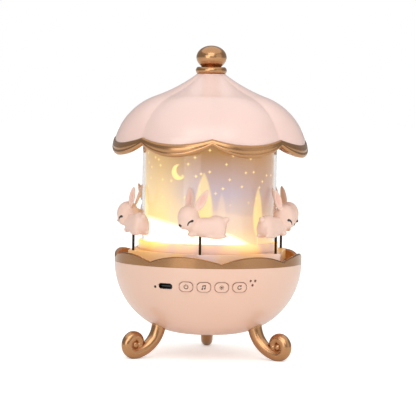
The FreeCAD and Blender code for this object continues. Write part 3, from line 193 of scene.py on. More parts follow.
class MusicBoxStage(PropertyGroup):
    """Camera, studio light and the lamp's glow."""

    camera_back: length("Camera distance", "Camera ahead of the turning axis", 1236.5)
    camera_side: length("Camera side", "Camera right of the turning axis", 2.4)
    camera_high: length("Camera height", "Camera over the floor", 154.9)
    focal_pixels: amount("Focal length", "Lens length in pixels of the picture", 2019.0)
    turn: angle("Turn", "Camera turned to the right", -0.0024)
    tilt: angle("Tilt", "Camera tipped down", 0.0521)
    roll: angle("Roll", "Camera rolled", 0.0174)
    key_power: amount("Key light", "Soft box above the camera", 5.7)
    gloss_power: amount("Gloss light", "Soft box at the left that only gloss mirrors", 3.0)
    fill_power: amount("Fill light", "Soft box at the right", 1.5)
    sun_power: amount("Sky light", "Soft light from above", 1.2)
    floor_glow: amount("Floor glow", "Own light of the white floor", 0.45)
    rim_glow: amount("Rim glow", "Lamp's light inside the bowl rim", 0.2)
    glow: amount("Film glow", "Brightness of the lit film", 2.2)


class MusicBoxSettings(PropertyGroup):
    """All settings of the music box."""

    colours: PointerProperty(type=MusicBoxColours)
    sizes: PointerProperty(type=MusicBoxSizes)
    stage: PointerProperty(type=MusicBoxStage)


class Wire:
    """One shader value. Arithmetic on it adds Math nodes to its tree."""

    def __init__(self, finish, socket):
        self.finish = finish
        self.socket = socket

    def __add__(self, other):
        return self.finish.math("ADD", self, other)

    def __sub__(self, other):
        return self.finish.math("SUBTRACT", self, other)

    def __rsub__(self, other):
        return self.finish.math("SUBTRACT", other, self)

    def __mul__(self, other):
        return self.finish.math("MULTIPLY", self, other)

    def __truediv__(self, other):
        return self.finish.math("DIVIDE", self, other)

    def __pow__(self, other):
        return self.finish.math("POWER", self, other)

    def __abs__(self):
        return self.finish.math("ABSOLUTE", self)

    __radd__ = __add__
    __rmul__ = __mul__


class NodeKit:
    """Adds nodes to one shader tree."""

    def __init__(self, tree):
        self.tree = tree

    def fill(self, socket, item):
        """Links a wire to a socket, or sets a plain value on it."""
        if isinstance(item, Wire):
            self.tree.links.new(item.socket, socket)
        elif socket.type == "RGBA":
            socket.default_value = (*item, 1.0)
        else:
            socket.default_value = item

    def node(self, kind, settings=None, sockets=None, out=0):
        """Any node: its settings come first, then the values or links of its sockets."""
        made = self.tree.nodes.new(kind)
        for name, setting in (settings or {}).items():
            if name == "stops":
                self.set_stops(made.color_ramp, setting)
            else:
                setattr(made, name, setting)
        for name, item in (sockets or {}).items():
            self.fill(made.inputs[name], item)
        return Wire(self, made.outputs[out])

    def set_stops(self, ramp, stops):
        """Gives a colour ramp its stops, each a place and a colour."""
        while len(ramp.elements) < len(stops):
            ramp.elements.new(1.0)
        for element, (place, tone) in zip(ramp.elements, stops):
            element.position = place
            element.color = (*tone, 1.0)

    def math(self, operation, *terms):
        return self.node("ShaderNodeMath", {"operation": operation}, dict(enumerate(terms)))

    def mix(self, share, first, second):
        """Colour between two others."""
        return self.node("ShaderNodeMix", {"data_type": "RGBA"}, {0: share, 6: first, 7: second}, 2)

    def step(self, wire, soft):
        """0 where the wire is under minus soft, 1 where it is over soft, and smooth between."""
        return self.node(
            "ShaderNodeMapRange", {"interpolation_type": "SMOOTHSTEP"},
            {"Value": wire, "From Min": -soft, "From Max": soft})

    def place(self):
        return self.node("ShaderNodeTexCoord", out="Object")

    def split(self, vector):
        made = self.node("ShaderNodeSeparateXYZ", sockets={0: vector}).socket.node
        return [Wire(self, socket) for socket in made.outputs]

    def noise(self, size, detail=2.0):
        """Noise whose blotches are about this size across, in metres."""
        return self.node("ShaderNodeTexNoise", sockets={
            "Vector": self.place(), "Scale": 1 / size, "Detail": detail})


class Finish(NodeKit):
    """A material on one Principled shader, with the constants set on its own sockets."""

    def __init__(self, name, constants):
        self.material = bpy.data.materials.new(name)
        self.material.use_nodes = True
        super().__init__(self.material.node_tree)
        self.shader = self.tree.nodes["Principled BSDF"]
        self.feed(constants)

    def feed(self, sockets):
        for name, item in sockets.items():
            self.fill(self.shader.inputs[name], item)

    def bump(self, height, deep):
        self.feed({"Normal": self.node("ShaderNodeBump", sockets={"Distance": deep, "Height": height})})


def satin_plastic(name, tone, deep, rough=0.28, crease=0.0):
    """Moulded plastic with a faint orange-peel skin, a slow drift of tone and, on the roof, creases."""
    finish = Finish(name, {"IOR": 1.49, "Coat Weight": 0.4, "Coat Roughness": 0.12})
    drift = finish.noise(45 * MM)
    peel = finish.noise(0.7 * MM, 3.0)
    finish.feed({"Base Color": finish.mix(drift, tone, deep), "Roughness": rough + 0.1 * peel})
    height = 0.008 * peel
    if crease:
        x, y = finish.split(finish.place())[:2]
        reach = (x ** 2 + y ** 2) ** 0.5 / MM
        lobe = abs(finish.math("SINE", finish.math("ARCTAN2", x, y) * (LOBES / 2)))
        height += crease * reach * lobe
    finish.bump(height, MM)
    return finish.material


def champagne_gold(name, tone, deep):
    """Metallic paint with fine flakes and a soft unevenness, as a finish that can be added to."""
    finish = Finish(name, {"Metallic": 1.0, "Coat Weight": 0.1, "Coat Roughness": 0.1})
    flakes = finish.noise(0.25 * MM)
    drift = finish.noise(14 * MM)
    finish.feed({
        "Base Color": finish.mix(0.3 * flakes + 0.3 * drift, tone, deep),
        "Roughness": 0.16 + 0.08 * flakes + 0.06 * drift,
    })
    finish.bump(flakes, 0.003 * MM)
    return finish


def lamplit_rim(name, tone, deep, ember, glow):
    """The same gold, warmed by the lamp on the inside of the bowl's rim."""
    finish = champagne_gold(name, tone, deep)
    x, y = finish.split(finish.place())[:2]
    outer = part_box("bowl_rim")[1].x
    inside = finish.step(outer - RIM_WALL / 2 - (x ** 2 + y ** 2) ** 0.5, 0.2 * MM)
    finish.feed({"Emission Strength": glow, "Emission Color": finish.mix(inside, BLACK, ember)})
    return finish.material


def metal(name, tone, rough):
    """Plain drawn metal with rubbed patches."""
    finish = Finish(name, {"Metallic": 1.0})
    rub = finish.noise(3 * MM, 4.0)
    finish.feed({"Base Color": finish.mix(rub, tone, dimmed(tone, 0.7)), "Roughness": rough + 0.2 * rub})
    return finish.material


def clear_wall(name):
    """Clear moulded wall with the faintest smears."""
    finish = Finish(name, {"Base Color": CLEAR_TINT, "Transmission Weight": 1.0, "IOR": 1.3})
    finish.feed({"Roughness": 0.01 + 0.03 * finish.noise(9 * MM, 3.0)})
    return finish.material


# The film's picture. Lengths are millimetres along the film from the front and up from its lower edge
# Painted shade and gold reflection towards the film's sides, as seen from the front
SHADED_SIDES = 22.0
SIDE_SHADE_FADE = 12.0
WARM_LEFT = -18.0
WARM_FADE = 16.0
FAR_HILLS = {"level": 19, "waves": ((5, 2, 0.8), (2, 5, 2.1)), "soft": 1.6}
NEAR_HILLS = {"level": 4, "waves": ((14, 1, 2.5), (1.5, 4, 0.4)), "soft": 2.0}
FAR_TREES = {"count": 9, "shift": 0.25, "base": 14, "grow": 22}
NEAR_TREES = {"count": 6, "shift": 0.6, "base": 8, "grow": 40}
TREE_EDGE = 0.9
TREE_TRUNK_HALF = 0.5
TREE_TRUNK_LONG = 4
STAR_SPACING = 9
STAR_SHARE = 0.14
STARS_FROM = 30
STARS_FADE = 6.0
MOON_PLACE = (-19.0, 47.0)
MOON_RADIUS = 4.6
BITE_PLACE = (-16.6, 48.2)
BITE_RADIUS = 3.9
MOON_EDGE = 0.4


class FilmFinish(Finish):
    """Lit film and the parts of its picture."""

    def __init__(self, name, colours, glow):
        super().__init__(name, {"Emission Strength": glow, "Roughness": 0.55})
        low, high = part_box("film_sleeve")
        x, y, z = self.split(self.place())
        self.colours = colours
        self.glow = glow
        self.radius = high.x / MM
        self.turn = self.math("ARCTAN2", x, -1 * y)
        self.along = self.turn * self.radius
        self.rise = (z - low.z) / MM
        self.height = self.rise / ((high.z - low.z) / MM)

    def lit(self, name, share=1.0):
        """Emission colour that shows as a colour of the settings, times a share."""
        return dimmed(getattr(self.colours, name), share / self.glow)

    def sky(self):
        """Ember glow at the bottom under haze and sky, with painted shade and painted gold reflection
        towards the top and the sides, and warm towards the lower left.
        """
        tone = self.node("ShaderNodeValToRGB", {"stops": [
            (0.0, self.lit("ember", 2.0)),
            (0.07, self.lit("crown", 1.2)),
            (0.2, self.lit("haze")),
            (0.48, self.lit("sky")),
            # The top stops are painted shade and gold reflection under the roof
            (0.82, self.lit("film_shade")),
            (1.0, self.lit("film_shade", 0.6)),
        ]}, {"Fac": self.height})
        # Painted shade and gold reflection towards the sides
        sides = self.step(abs(self.along) - SHADED_SIDES, SIDE_SHADE_FADE)
        tone = self.mix(0.42 * sides, tone, self.lit("film_shade", 1.2))
        warmth = self.step(WARM_LEFT - self.along, WARM_FADE) * (1 - self.height)
        return self.mix(0.9 * warmth, tone, self.lit("crown", 1.25))

    def hills(self, level, waves, soft):
        """1 under a line made of waves, each with a height, a count round the film and a shift."""
        line = level
        for height, count, shift in waves:
            line = line + height * self.math("SINE", self.turn * count + shift)
        return self.step(line - self.rise, soft)

    def trees(self, count, shift, base, grow):
        """Leaf-shaped crowns with trunks, one in each share of the turn, each of its own height."""
        cell = self.turn * (count / (2 * math.pi)) + shift
        order = self.math("FLOOR", cell)
        vary = self.node("ShaderNodeTexWhiteNoise", {"noise_dimensions": "1D"}, {"W": order})
        side = abs(cell - order - 0.35 - 0.3 * vary) * (2 * math.pi * self.radius / count)
        height = grow * (0.7 + 0.5 * vary)
        share = (self.rise - base) / height
        leaf = self.math("MAXIMUM", share * (1 - share), 0.0) ** 0.6
        half = leaf * height * (0.42 - 0.16 * share)
        crown = self.step(half - side - TREE_EDGE, TREE_EDGE) * (1.1 - 0.5 * share)
        low = self.step(base + TREE_TRUNK_LONG - self.rise, 0.5)
        trunk = self.step(TREE_TRUNK_HALF - side, 0.25) * low
        return self.math("MAXIMUM", crown, trunk)

    def stars(self):
        """Small sparks on the upper film."""
        spot = self.node("ShaderNodeCombineXYZ", sockets={0: self.along, 1: self.rise})
        grain = self.node(
            "ShaderNodeTexVoronoi", {"distance": "MINKOWSKI", "voronoi_dimensions": "2D"},
            {"Vector": spot, "Scale": 1 / STAR_SPACING, "Exponent": 0.6}, "Distance")
        return self.step(STAR_SHARE - grain, 0.05) * self.step(self.rise - STARS_FROM, STARS_FADE)

    def reach(self, across, up):
        """Distance from a spot of the film."""
        return ((self.along - across) ** 2 + (self.rise - up) ** 2) ** 0.5

    def moon(self):
        """Crescent: a disc with a smaller one bitten out of its upper right."""
        disc = self.step(MOON_RADIUS - self.reach(*MOON_PLACE), MOON_EDGE)
        return disc * self.step(self.reach(*BITE_PLACE) - BITE_RADIUS, MOON_EDGE)


def landscape_film(name, colours, glow):
    """Snow hills, leaf-shaped trees, stars and a moon, laid over the sky one by one."""
    film = FilmFinish(name, colours, glow)
    picture = film.sky()
    for share, tone in (
        (0.35 * film.hills(**FAR_HILLS), film.lit("haze", 1.15)),
        (0.5 * film.trees(**FAR_TREES), film.lit("haze", 1.1)),
        (0.8 * film.trees(**NEAR_TREES), film.lit("crown", 1.1)),
        (0.95 * film.hills(**NEAR_HILLS), film.lit("snow", 1.6)),
        (film.math("MAXIMUM", 0.75 * film.stars(), film.moon()), film.lit("crown", 1.1)),
    ):
        picture = film.mix(share, picture, tone)
    unlit = film.mix(0.5, dimmed(colours.sky, 0.3), picture)
    film.feed({"Emission Color": picture, "Base Color": unlit})
    return film.material


def lamplit_plastic(name, node, tone, ember, glow):
    """Pink plastic that carries the lamp's warm light in patches, more so towards its top."""
    finish = Finish(name, {"Emission Strength": glow, "Roughness": 0.35, "Coat Weight": 0.3})
    low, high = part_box(node)
    rise = (finish.split(finish.place())[2] - low.z) / (high.z - low.z)
    patch = finish.step(finish.noise(26 * MM) - 0.44, 0.14)
    warm = finish.mix(patch, dimmed(tone, 0.2), ember)
    finish.feed({
        "Base Color": finish.mix(0.5 * patch, tone, ember),
        "Emission Color": finish.mix(rise, BLACK, warm),
    })
    return finish.material


def rabbit_skin(name, tone, blush):
    """Soft-touch plastic, warmer inside the ears."""
    finish = Finish(name, {"IOR": 1.45, "Coat Weight": 0.1, "Coat Roughness": 0.3})
    warm = finish.node("ShaderNodeAttribute", {"attribute_name": "blush"}, out="Fac")
    peel = finish.noise(0.5 * MM, 3.0)
    finish.feed({"Base Color": finish.mix(0.5 * warm, tone, blush), "Roughness": 0.42 + 0.12 * peel})
    finish.bump(peel, 0.01 * MM)
    return finish.material


def glossy_ink(name, tone):
    """Painted eyes and noses under a clear coat."""
    finish = Finish(name, {"Base Color": tone, "Coat Weight": 0.6})
    finish.feed({"Roughness": 0.2 + 0.15 * finish.noise(0.6 * MM)})
    return finish.material


def frosted_lamp(name, tone, power):
    """Frosted cap or chip lit from inside."""
    finish = Finish(name, {"Base Color": tone, "Emission Strength": power})
    cloud = finish.noise(4 * MM)
    finish.feed({
        "Emission Color": finish.mix(cloud, tone, dimmed(tone, 0.8)),
        "Roughness": 0.5 + 0.1 * cloud,
    })
    return finish.material


def circuit_board(name):
    """Green solder mask with paler tracks."""
    finish = Finish(name, {"Coat Weight": 0.4})
    tracks = finish.node("ShaderNodeTexBrick", {"offset": 0.5}, {
        "Vector": finish.place(), "Scale": 1 / (6 * MM), "Mortar Size": 0.03}, "Fac")
    finish.feed({
        "Base Color": finish.mix(tracks, SOLDER_MASK, BOARD_TRACK),
        "Roughness": 0.35 + 0.15 * finish.noise(1 * MM),
    })
    finish.bump(tracks, 0.02 * MM)
    return finish.material


def wrapped_cell(name):
    """Shrink wrap on a battery cell, with a paler band at one end."""
    finish = Finish(name, {"Coat Weight": 0.3})
    along = finish.split(finish.place())[0]
    wrap = finish.step(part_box("battery")[1].x - CELL_BAND - along, 0.2 * MM)
    ripple = finish.noise(2 * MM, 3.0)
    finish.feed({"Base Color": finish.mix(wrap, CELL_END, CELL_WRAP), "Roughness": 0.28 + 0.15 * ripple})
    finish.bump(ripple, 0.03 * MM)
    return finish.material


def open_foam(name, tone):
    """Foam with fine open pores."""
    finish = Finish(name, {})
    pores = finish.node(
        "ShaderNodeTexVoronoi", sockets={"Vector": finish.place(), "Scale": 1 / (0.5 * MM)})
    finish.feed({
        "Base Color": finish.mix(pores, dimmed(tone, 0.4), tone),
        "Roughness": 0.9 - 0.1 * pores,
    })
    finish.bump(pores, 0.15 * MM)
    return finish.material


def shading_group(bend_limit):
    """Node group that joins loose triangles and shades them smooth, save over sharp edges."""
    group = bpy.data.node_groups.new("smooth_faces", "GeometryNodeTree")
    for way in ("INPUT", "OUTPUT"):
        group.interface.new_socket("Geometry", in_out=way, socket_type="NodeSocketGeometry")
    start = group.nodes.new("NodeGroupInput")
    weld = group.nodes.new("GeometryNodeMergeByDistance")
    weld.inputs["Distance"].default_value = WELD
    bend = group.nodes.new("GeometryNodeInputMeshEdgeAngle")
    sharp = group.nodes.new("FunctionNodeCompare")
    sharp.operation = "GREATER_THAN"
    sharp.inputs["B"].default_value = bend_limit
    faces = group.nodes.new("GeometryNodeSetShadeSmooth")
    edges = group.nodes.new("GeometryNodeSetShadeSmooth")
    edges.domain = "EDGE"
    edges.inputs["Shade Smooth"].default_value = False
    end = group.nodes.new("NodeGroupOutput")
    link = group.links.new
    link(start.outputs[0], weld.inputs["Geometry"])
    link(weld.outputs[0], faces.inputs["Geometry"])
    link(faces.outputs[0], edges.inputs["Geometry"])
    link(bend.outputs["Unsigned Angle"], sharp.inputs["A"])
    link(sharp.outputs[0], edges.inputs["Selection"])
    link(edges.outputs[0], end.inputs[0])
    return group


def dress(material, *names):
    """Gives CAD nodes a finish and smooth shading."""
    group = bpy.data.node_groups.get("smooth_faces") or shading_group(SMOOTH_ANGLE)
    for name in names:
        node = NODES[name]
        node.data.materials.clear()
        node.data.materials.append(material)
        node.modifiers.new("smooth_faces", "NODES").node_group = group


def piece(name, bm, body, materials):
    """Turns a bmesh into a finished object that rides on a body."""
    mesh = bpy.data.meshes.new(name)
    bm.to_mesh(mesh)
    bm.free()
    for material in materials:
        mesh.materials.append(material)
    obj = bpy.data.objects.new(name, mesh)
    bpy.context.scene.collection.objects.link(obj)
    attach(obj, body)
    return obj


def one_skin(bm, grain, rounds):
    """One closed, smoothed skin over everything in a bmesh."""
    mesh = bpy.data.meshes.new("rough_form")
    bm.to_mesh(mesh)
    bm.free()
    obj = bpy.data.objects.new("rough_form", mesh)
    bpy.context.scene.collection.objects.link(obj)
    cells = obj.modifiers.new("cells", "REMESH")
    cells.mode = "VOXEL"
    cells.voxel_size = grain
    soft = obj.modifiers.new("soft", "SMOOTH")
    soft.factor = 0.5
    soft.iterations = rounds
    skin = bmesh.new()
    skin.from_object(obj, bpy.context.evaluated_depsgraph_get())
    bpy.data.objects.remove(obj)
    bpy.data.meshes.remove(mesh)
    return skin


def add_copy(bm, other, place, index):
    """Adds another bmesh at a place, with one material index on its faces."""
    mesh = bpy.data.meshes.new("copy")
    other.to_mesh(mesh)
    mesh.transform(place)
    first = len(bm.faces)
    bm.from_mesh(mesh)
    bm.faces.ensure_lookup_table()
    for face in bm.faces[first:]:
        face.material_index = index
        face.smooth = True
    bpy.data.meshes.remove(mesh)


# The rabbit in millimetres: body towards +X, belly on z 0, pole at the origin, head turned to +Y
SIDES = (1, -1)
BALL_DETAIL = 4
TRUNK_CENTRE = (-6.4, 0.0, 5.4)
TRUNK_SIZE = (18.0, 9.6, 12.0)
TRUNK_ROUND = 4.2
TRUNK_SEGMENTS = 8
BODY_BALLS = {
    "chest": ((2.4, 0.0, 5.2), (5.4, 4.7, 5.2)),
    "rump": ((-9.4, 0.0, 7.0), (6.4, 4.7, 5.8)),
    "tail": ((-15.4, 0.0, 10.2), (1.9, 1.9, 1.9)),
}
PAIRED_BODY_BALLS = {
    "fore_paw": ((4.6, 2.4, 1.2), (3.0, 1.8, 1.5)),
    "haunch": ((-10.6, 3.4, 4.2), (4.7, 1.9, 4.8)),
    "hind_foot": ((-9.6, 3.1, 0.3), (6.6, 1.8, 1.4)),
}
HEAD_BALLS = {
    "head": ((7.5, 0.0, 11.1), (6.7, 6.2, 7.4)),
    "muzzle": ((10.4, 0.0, 7.7), (3.7, 3.5, 3.6)),
}
PAIRED_HEAD_BALLS = {"cheek": ((9.0, 2.2, 7.4), (3.5, 3.2, 3.6))}
NECK = Vector((6.0, 0.0, 0.0))
HEAD_TURN = math.radians(44)
BODY_SMOOTHING = 24
EAR_SMOOTHING = 4
FACE_SMOOTHING = 2

# Ears: how they stand, their leaf shape, and the dish and the blush inside them
EAR_ROOT = (4.6, 3.6, 15.2)
EAR_LEAN = math.radians(-21)
EAR_SPLAY = math.radians(20)
EAR_TWISTS = {1: math.radians(-30), -1: math.radians(105)}
EAR_ROLLS = {1: 0.0, -1: math.radians(-9)}
EAR_SEGMENTS = 40
EAR_RINGS = 32
EAR_SWELL = 1.12
EAR_TAPER = 0.42
DISH_WIDE = 0.8
DISH_LONG = 0.9
DISH_DEEP = 1.35
BLUSH_WIDE = 0.62
BLUSH_LONG = 0.78
BLUSH_BEHIND = -0.5
BLUSH_REACH = 2

# Eyes and nose are rows of beads. An eye's ends are places ahead and up, seen from the side
EYE_FRONT = (11.3, 6.9)
EYE_BACK = (8.9, 9.4)
EYE_BEADS = 14
NOSE_BEADS = 9
NOSE_HALF_TURN = math.radians(14)
NOSE_TIP = math.radians(-20)
NOSE_RADIUS = 1.0
NOSE_TAPER = 0.35
BEAD_SINK = 0.45
FAR_OUT = 20


def ball(bm, centre, radii):
    """Ellipsoid in the rabbit's own millimetres."""
    place = Matrix.Translation(centre) @ Matrix.Diagonal((*radii, 1.0))
    bmesh.ops.create_icosphere(bm, subdivisions=BALL_DETAIL, radius=1.0, matrix=place)


def add_balls(bm, middle, paired):
    """Balls on the middle plane, and balls that stand on both sides of it."""
    for centre, radii in middle.values():
        ball(bm, centre, radii)
    for centre, radii in paired.values():
        ball(bm, centre, radii)
        ball(bm, (centre[0], -centre[1], centre[2]), radii)


def add_trunk(bm):
    """Rounded block between chest and rump."""
    place = Matrix.Translation(TRUNK_CENTRE) @ Matrix.Diagonal((*TRUNK_SIZE, 1.0))
    verts = bmesh.ops.create_cube(bm, size=1.0, matrix=place)["verts"]
    edges = list(dict.fromkeys(edge for vert in verts for edge in vert.link_edges))
    bmesh.ops.bevel(
        bm, geom=edges, offset=TRUNK_ROUND, segments=TRUNK_SEGMENTS, profile=0.5, affect="EDGES",
        material=-1)


def ear_halves(sizes):
    """Half the width, thickness and length of an ear, in millimetres."""
    return [size / MM / 2 for size in (sizes.ear_wide, sizes.ear_thick, sizes.ear_long)]


def ear_place(side):
    """Place of one ear on a head that looks straight ahead. The inner ear is rolled off the drum."""
    root = Matrix.Translation((EAR_ROOT[0], side * EAR_ROOT[1], EAR_ROOT[2]))
    lean = Matrix.Rotation(EAR_LEAN, 4, "Y") @ Matrix.Rotation(-side * EAR_SPLAY, 4, "X")
    body_way = Vector((math.cos(HEAD_TURN), -math.sin(HEAD_TURN), 0))
    roll = Matrix.Rotation(EAR_ROLLS[side], 4, body_way)
    return root @ roll @ lean @ Matrix.Rotation(EAR_TWISTS[side], 4, "Z")


def add_ear(bm, sizes, side):
    """Leaf-shaped ear, dished on one face."""
    half_wide, half_thick, half_long = ear_halves(sizes)
    made = bmesh.ops.create_uvsphere(bm, u_segments=EAR_SEGMENTS, v_segments=EAR_RINGS, radius=1.0)
    for vert in made["verts"]:
        across, through, up = vert.co
        share = (up + 1) / 2
        dish = max(0.0, 1 - (across / DISH_WIDE) ** 2 - (up / DISH_LONG) ** 2)
        if through * side > 0:
            through -= side * DISH_DEEP * dish
        vert.co = (
            across * half_wide * (EAR_SWELL - EAR_TAPER * share ** 2),
            through * half_thick,
            (up + 1) * half_long,
        )
    bmesh.ops.transform(bm, matrix=ear_place(side), verts=made["verts"])


def mark_blush(skin, sizes, turn):
    """Marks the insides of both ears, most in their middle."""
    blush = skin.verts.layers.float.new("blush")
    half_wide, _, half_long = ear_halves(sizes)
    for side in SIDES:
        back = (turn @ ear_place(side)).inverted()
        for vert in skin.verts:
            across, through, up = back @ vert.co
            wide = across / half_wide / BLUSH_WIDE
            tall = (up - half_long) / half_long / BLUSH_LONG
            spread = wide ** 2 + tall ** 2
            if through * side > BLUSH_BEHIND and abs(through) < BLUSH_REACH and spread < 1:
                vert[blush] = max(vert[blush], 1 - spread)


def rabbit_form(sizes):
    """The whole rabbit as one skin, with the ears' insides marked for blush."""
    grain = sizes.skin_grain / MM
    turn = Matrix.Translation(NECK) @ Matrix.Rotation(HEAD_TURN, 4, "Z") @ Matrix.Translation(-NECK)
    bm = bmesh.new()
    add_balls(bm, HEAD_BALLS, PAIRED_HEAD_BALLS)
    bmesh.ops.transform(bm, matrix=turn, verts=bm.verts)
    add_trunk(bm)
    add_balls(bm, BODY_BALLS, PAIRED_BODY_BALLS)
    bm = one_skin(bm, grain, BODY_SMOOTHING)
    ears = bmesh.new()
    for side in SIDES:
        add_ear(ears, sizes, side)
    bmesh.ops.transform(ears, matrix=turn, verts=ears.verts)
    add_copy(bm, ears, Matrix(), 0)
    ears.free()
    skin = one_skin(bm, grain, EAR_SMOOTHING)
    mark_blush(skin, sizes, turn)
    return skin


def bead(bm, tree, start, way, radius):
    """Ball, nearly half sunk in the skin where a ray meets it."""
    spot, normal = tree.ray_cast(start, way)[:2]
    if spot is None:
        raise RuntimeError("a bead misses the rabbit's head")
    ball(bm, spot - normal * radius * BEAD_SINK, (radius, radius, radius))


def add_eye(bm, tree, turn, sizes, side):
    """Sleepy stroke that curves up and back from beside the nose, and thickens."""
    for order in range(EYE_BEADS):
        share = order / (EYE_BEADS - 1)
        ahead = EYE_BACK[0] + (EYE_FRONT[0] - EYE_BACK[0]) * math.cos(share * math.pi / 2)
        up = EYE_FRONT[1] + (EYE_BACK[1] - EYE_FRONT[1]) * math.sin(share * math.pi / 2)
        radius = (sizes.eye_thin + (sizes.eye_thick - sizes.eye_thin) * share ** 1.5) / MM
        start = NECK + turn @ (Vector((ahead, side * FAR_OUT, up)) - NECK)
        bead(bm, tree, start, turn @ Vector((0, -side, 0)), radius)


def add_nose(bm, tree, turn):
    """Short bar across the tip of the muzzle, thinner at its ends."""
    muzzle = NECK + turn @ (Vector(HEAD_BALLS["muzzle"][0]) - NECK)
    for order in range(NOSE_BEADS):
        share = 2 * order / (NOSE_BEADS - 1) - 1
        bend = NOSE_HALF_TURN * share
        ahead = math.cos(bend) * math.cos(NOSE_TIP)
        way = Vector((ahead, math.sin(bend), math.sin(NOSE_TIP))).normalized()
        radius = NOSE_RADIUS * (1 - NOSE_TAPER * abs(share))
        bead(bm, tree, muzzle + turn @ way * FAR_OUT, turn @ -way, radius)


def rabbit_face(skin, sizes):
    """Both eyes and the nose, as their own closed skin."""
    tree = BVHTree.FromBMesh(skin)
    turn = Matrix.Rotation(HEAD_TURN, 3, "Z")
    bm = bmesh.new()
    for side in SIDES:
        add_eye(bm, tree, turn, sizes, side)
    add_nose(bm, tree, turn)
    return one_skin(bm, sizes.eye_grain / MM, FACE_SMOOTHING)


def rabbit_place(order):
    """Place of a rabbit on its pole. All face one way round the drum, save one that is mirrored."""
    low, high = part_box(f"pole_{order}")
    x, y = (low.x + high.x) / 2, (low.y + high.y) / 2
    backward = order == BACKWARD_RABBIT
    heading = math.atan2(x, -y) + (0 if backward else math.pi)
    spot = Matrix.Translation((x, y, high.z - POLE_SINK))
    place = spot @ Matrix.Rotation(heading, 4, "Z") @ Matrix.Scale(MM, 4)
    return place @ Matrix.Scale(-1, 4, (0, 1, 0)) if backward else place


KNOB_ARC_STEPS = 32
KNOB_TURN_STEPS = 96


def turned(outline):
    """Closed skin turned about the upright axis from (radius, height) corners that end on the axis."""
    bm = bmesh.new()
    spots = [bm.verts.new((radius, 0, height)) for radius, height in outline]
    edges = [bm.edges.new(pair) for pair in zip(spots, spots[1:])]
    bmesh.ops.spin(
        bm, geom=spots + edges, cent=(0, 0, 0), axis=(0, 0, 1), dvec=(0, 0, 0), angle=2 * math.pi,
        steps=KNOB_TURN_STEPS, use_merge=True, use_duplicate=False)
    bmesh.ops.remove_doubles(bm, verts=bm.verts, dist=WELD)
    bmesh.ops.recalc_face_normals(bm, faces=bm.faces)
    for face in bm.faces:
        face.smooth = True
    return bm


def knob_outline(sizes):
    """Flattened ball on a narrow neck, between the collar and the top of the CAD knob."""
    low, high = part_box("finial_knob")
    neck_share = sizes.knob_neck / high.x
    flat = (high.z - low.z - sizes.knob_neck_high) / (1 + math.sqrt(1 - neck_share ** 2))
    start = math.acos(neck_share)
    corners = [(0, low.z), (sizes.knob_neck, low.z)]
    for order in range(KNOB_ARC_STEPS + 1):
        turn = -start + (math.pi / 2 + start) * order / KNOB_ARC_STEPS
        corners.append((high.x * math.cos(turn), high.z - flat + flat * math.sin(turn)))
    return corners


# A sign is drawn in shares of its radius and of its line width
ARC_STEPS = 24
DOT_CORNERS = 20


def bar(bm, start, end, wide, deep):
    """Flat bar between two points of a sign."""
    way = Vector(end) - Vector(start)
    middle = (Vector(start) + Vector(end)) / 2
    place = Matrix.Translation((*middle, 0)) @ Matrix.Rotation(math.atan2(way.y, way.x), 4, "Z")
    size = Matrix.Diagonal((way.length + wide, wide, deep, 1))
    bmesh.ops.create_cube(bm, size=1.0, matrix=place @ size)


def dot(bm, centre, radius, deep):
    """Flat disc of a sign."""
    bmesh.ops.create_cone(
        bm, cap_ends=True, segments=DOT_CORNERS, radius1=radius, radius2=radius, depth=deep,
        matrix=Matrix.Translation((*centre, 0)))


def arc(bm, radius, start, sweep, wide, deep):
    """Flat stretch of a ring about the middle of a sign."""
    made = bmesh.ops.create_grid(bm, x_segments=1, y_segments=1, size=0.5)["verts"]
    upright = Matrix.Rotation(math.pi / 2, 4, "X") @ Matrix.Diagonal((wide, deep, 1, 1))
    place = Matrix.Rotation(start, 4, "Z") @ Matrix.Translation((radius, 0, 0)) @ upright
    bmesh.ops.transform(bm, matrix=place, verts=made)
    faces = list(made[0].link_faces)
    geom = faces + [edge for face in faces for edge in face.edges] + made
    bmesh.ops.spin(
        bm, geom=geom, cent=(0, 0, 0), axis=(0, 0, 1), dvec=(0, 0, 0), angle=sweep, steps=ARC_STEPS,
        use_duplicate=False)


def power_sign(bm, radius, wide, deep):
    """Open ring with a bar in its gap."""
    gap = math.radians(70)
    arc(bm, radius, math.pi / 2 + gap / 2, 2 * math.pi - gap, wide, deep)
    bar(bm, (0, radius * 0.35), (0, radius * 1.2), wide, deep)


def note_sign(bm, radius, wide, deep):
    """Pair of notes under a slanting beam."""
    tops = []
    for side in (-1, 1):
        middle = side * radius * 0.62
        lift = 0.12 * side
        stem = middle + wide * 0.2
        foot = radius * (lift - 0.75)
        top = (stem, radius * (lift + 0.8))
        dot(bm, (middle - wide * 0.5, foot), wide * 1.05, deep)
        bar(bm, (stem, foot), top, wide * 0.8, deep)
        tops.append(top)
    bar(bm, *tops, wide * 1.4, deep)


def lamp_sign(bm, radius, wide, deep):
    """Disc with rays."""
    dot(bm, (0, 0), radius * 0.45, deep)
    rays = 8
    for order in range(rays):
        turn = order * 2 * math.pi / rays
        way = Vector((math.cos(turn), math.sin(turn)))
        bar(bm, way * radius * 0.75, way * radius * 1.05, wide * 0.7, deep)


def turn_sign(bm, radius, wide, deep):
    """Open ring that starts at an arrow head."""
    ring = radius * 0.95
    arc(bm, ring, math.radians(60), math.radians(285), wide, deep)
    tip = math.radians(52)
    spot = Matrix.Translation((ring * math.cos(tip), ring * math.sin(tip), 0))
    bmesh.ops.create_cone(
        bm, cap_ends=True, segments=3, radius1=wide * 1.7, radius2=wide * 1.7, depth=deep,
        matrix=spot @ Matrix.Rotation(tip - math.pi / 2, 4, "Z"))


SIGNS = {
    "button_power": power_sign,
    "button_music": note_sign,
    "button_light": lamp_sign,
    "button_spin": turn_sign,
}


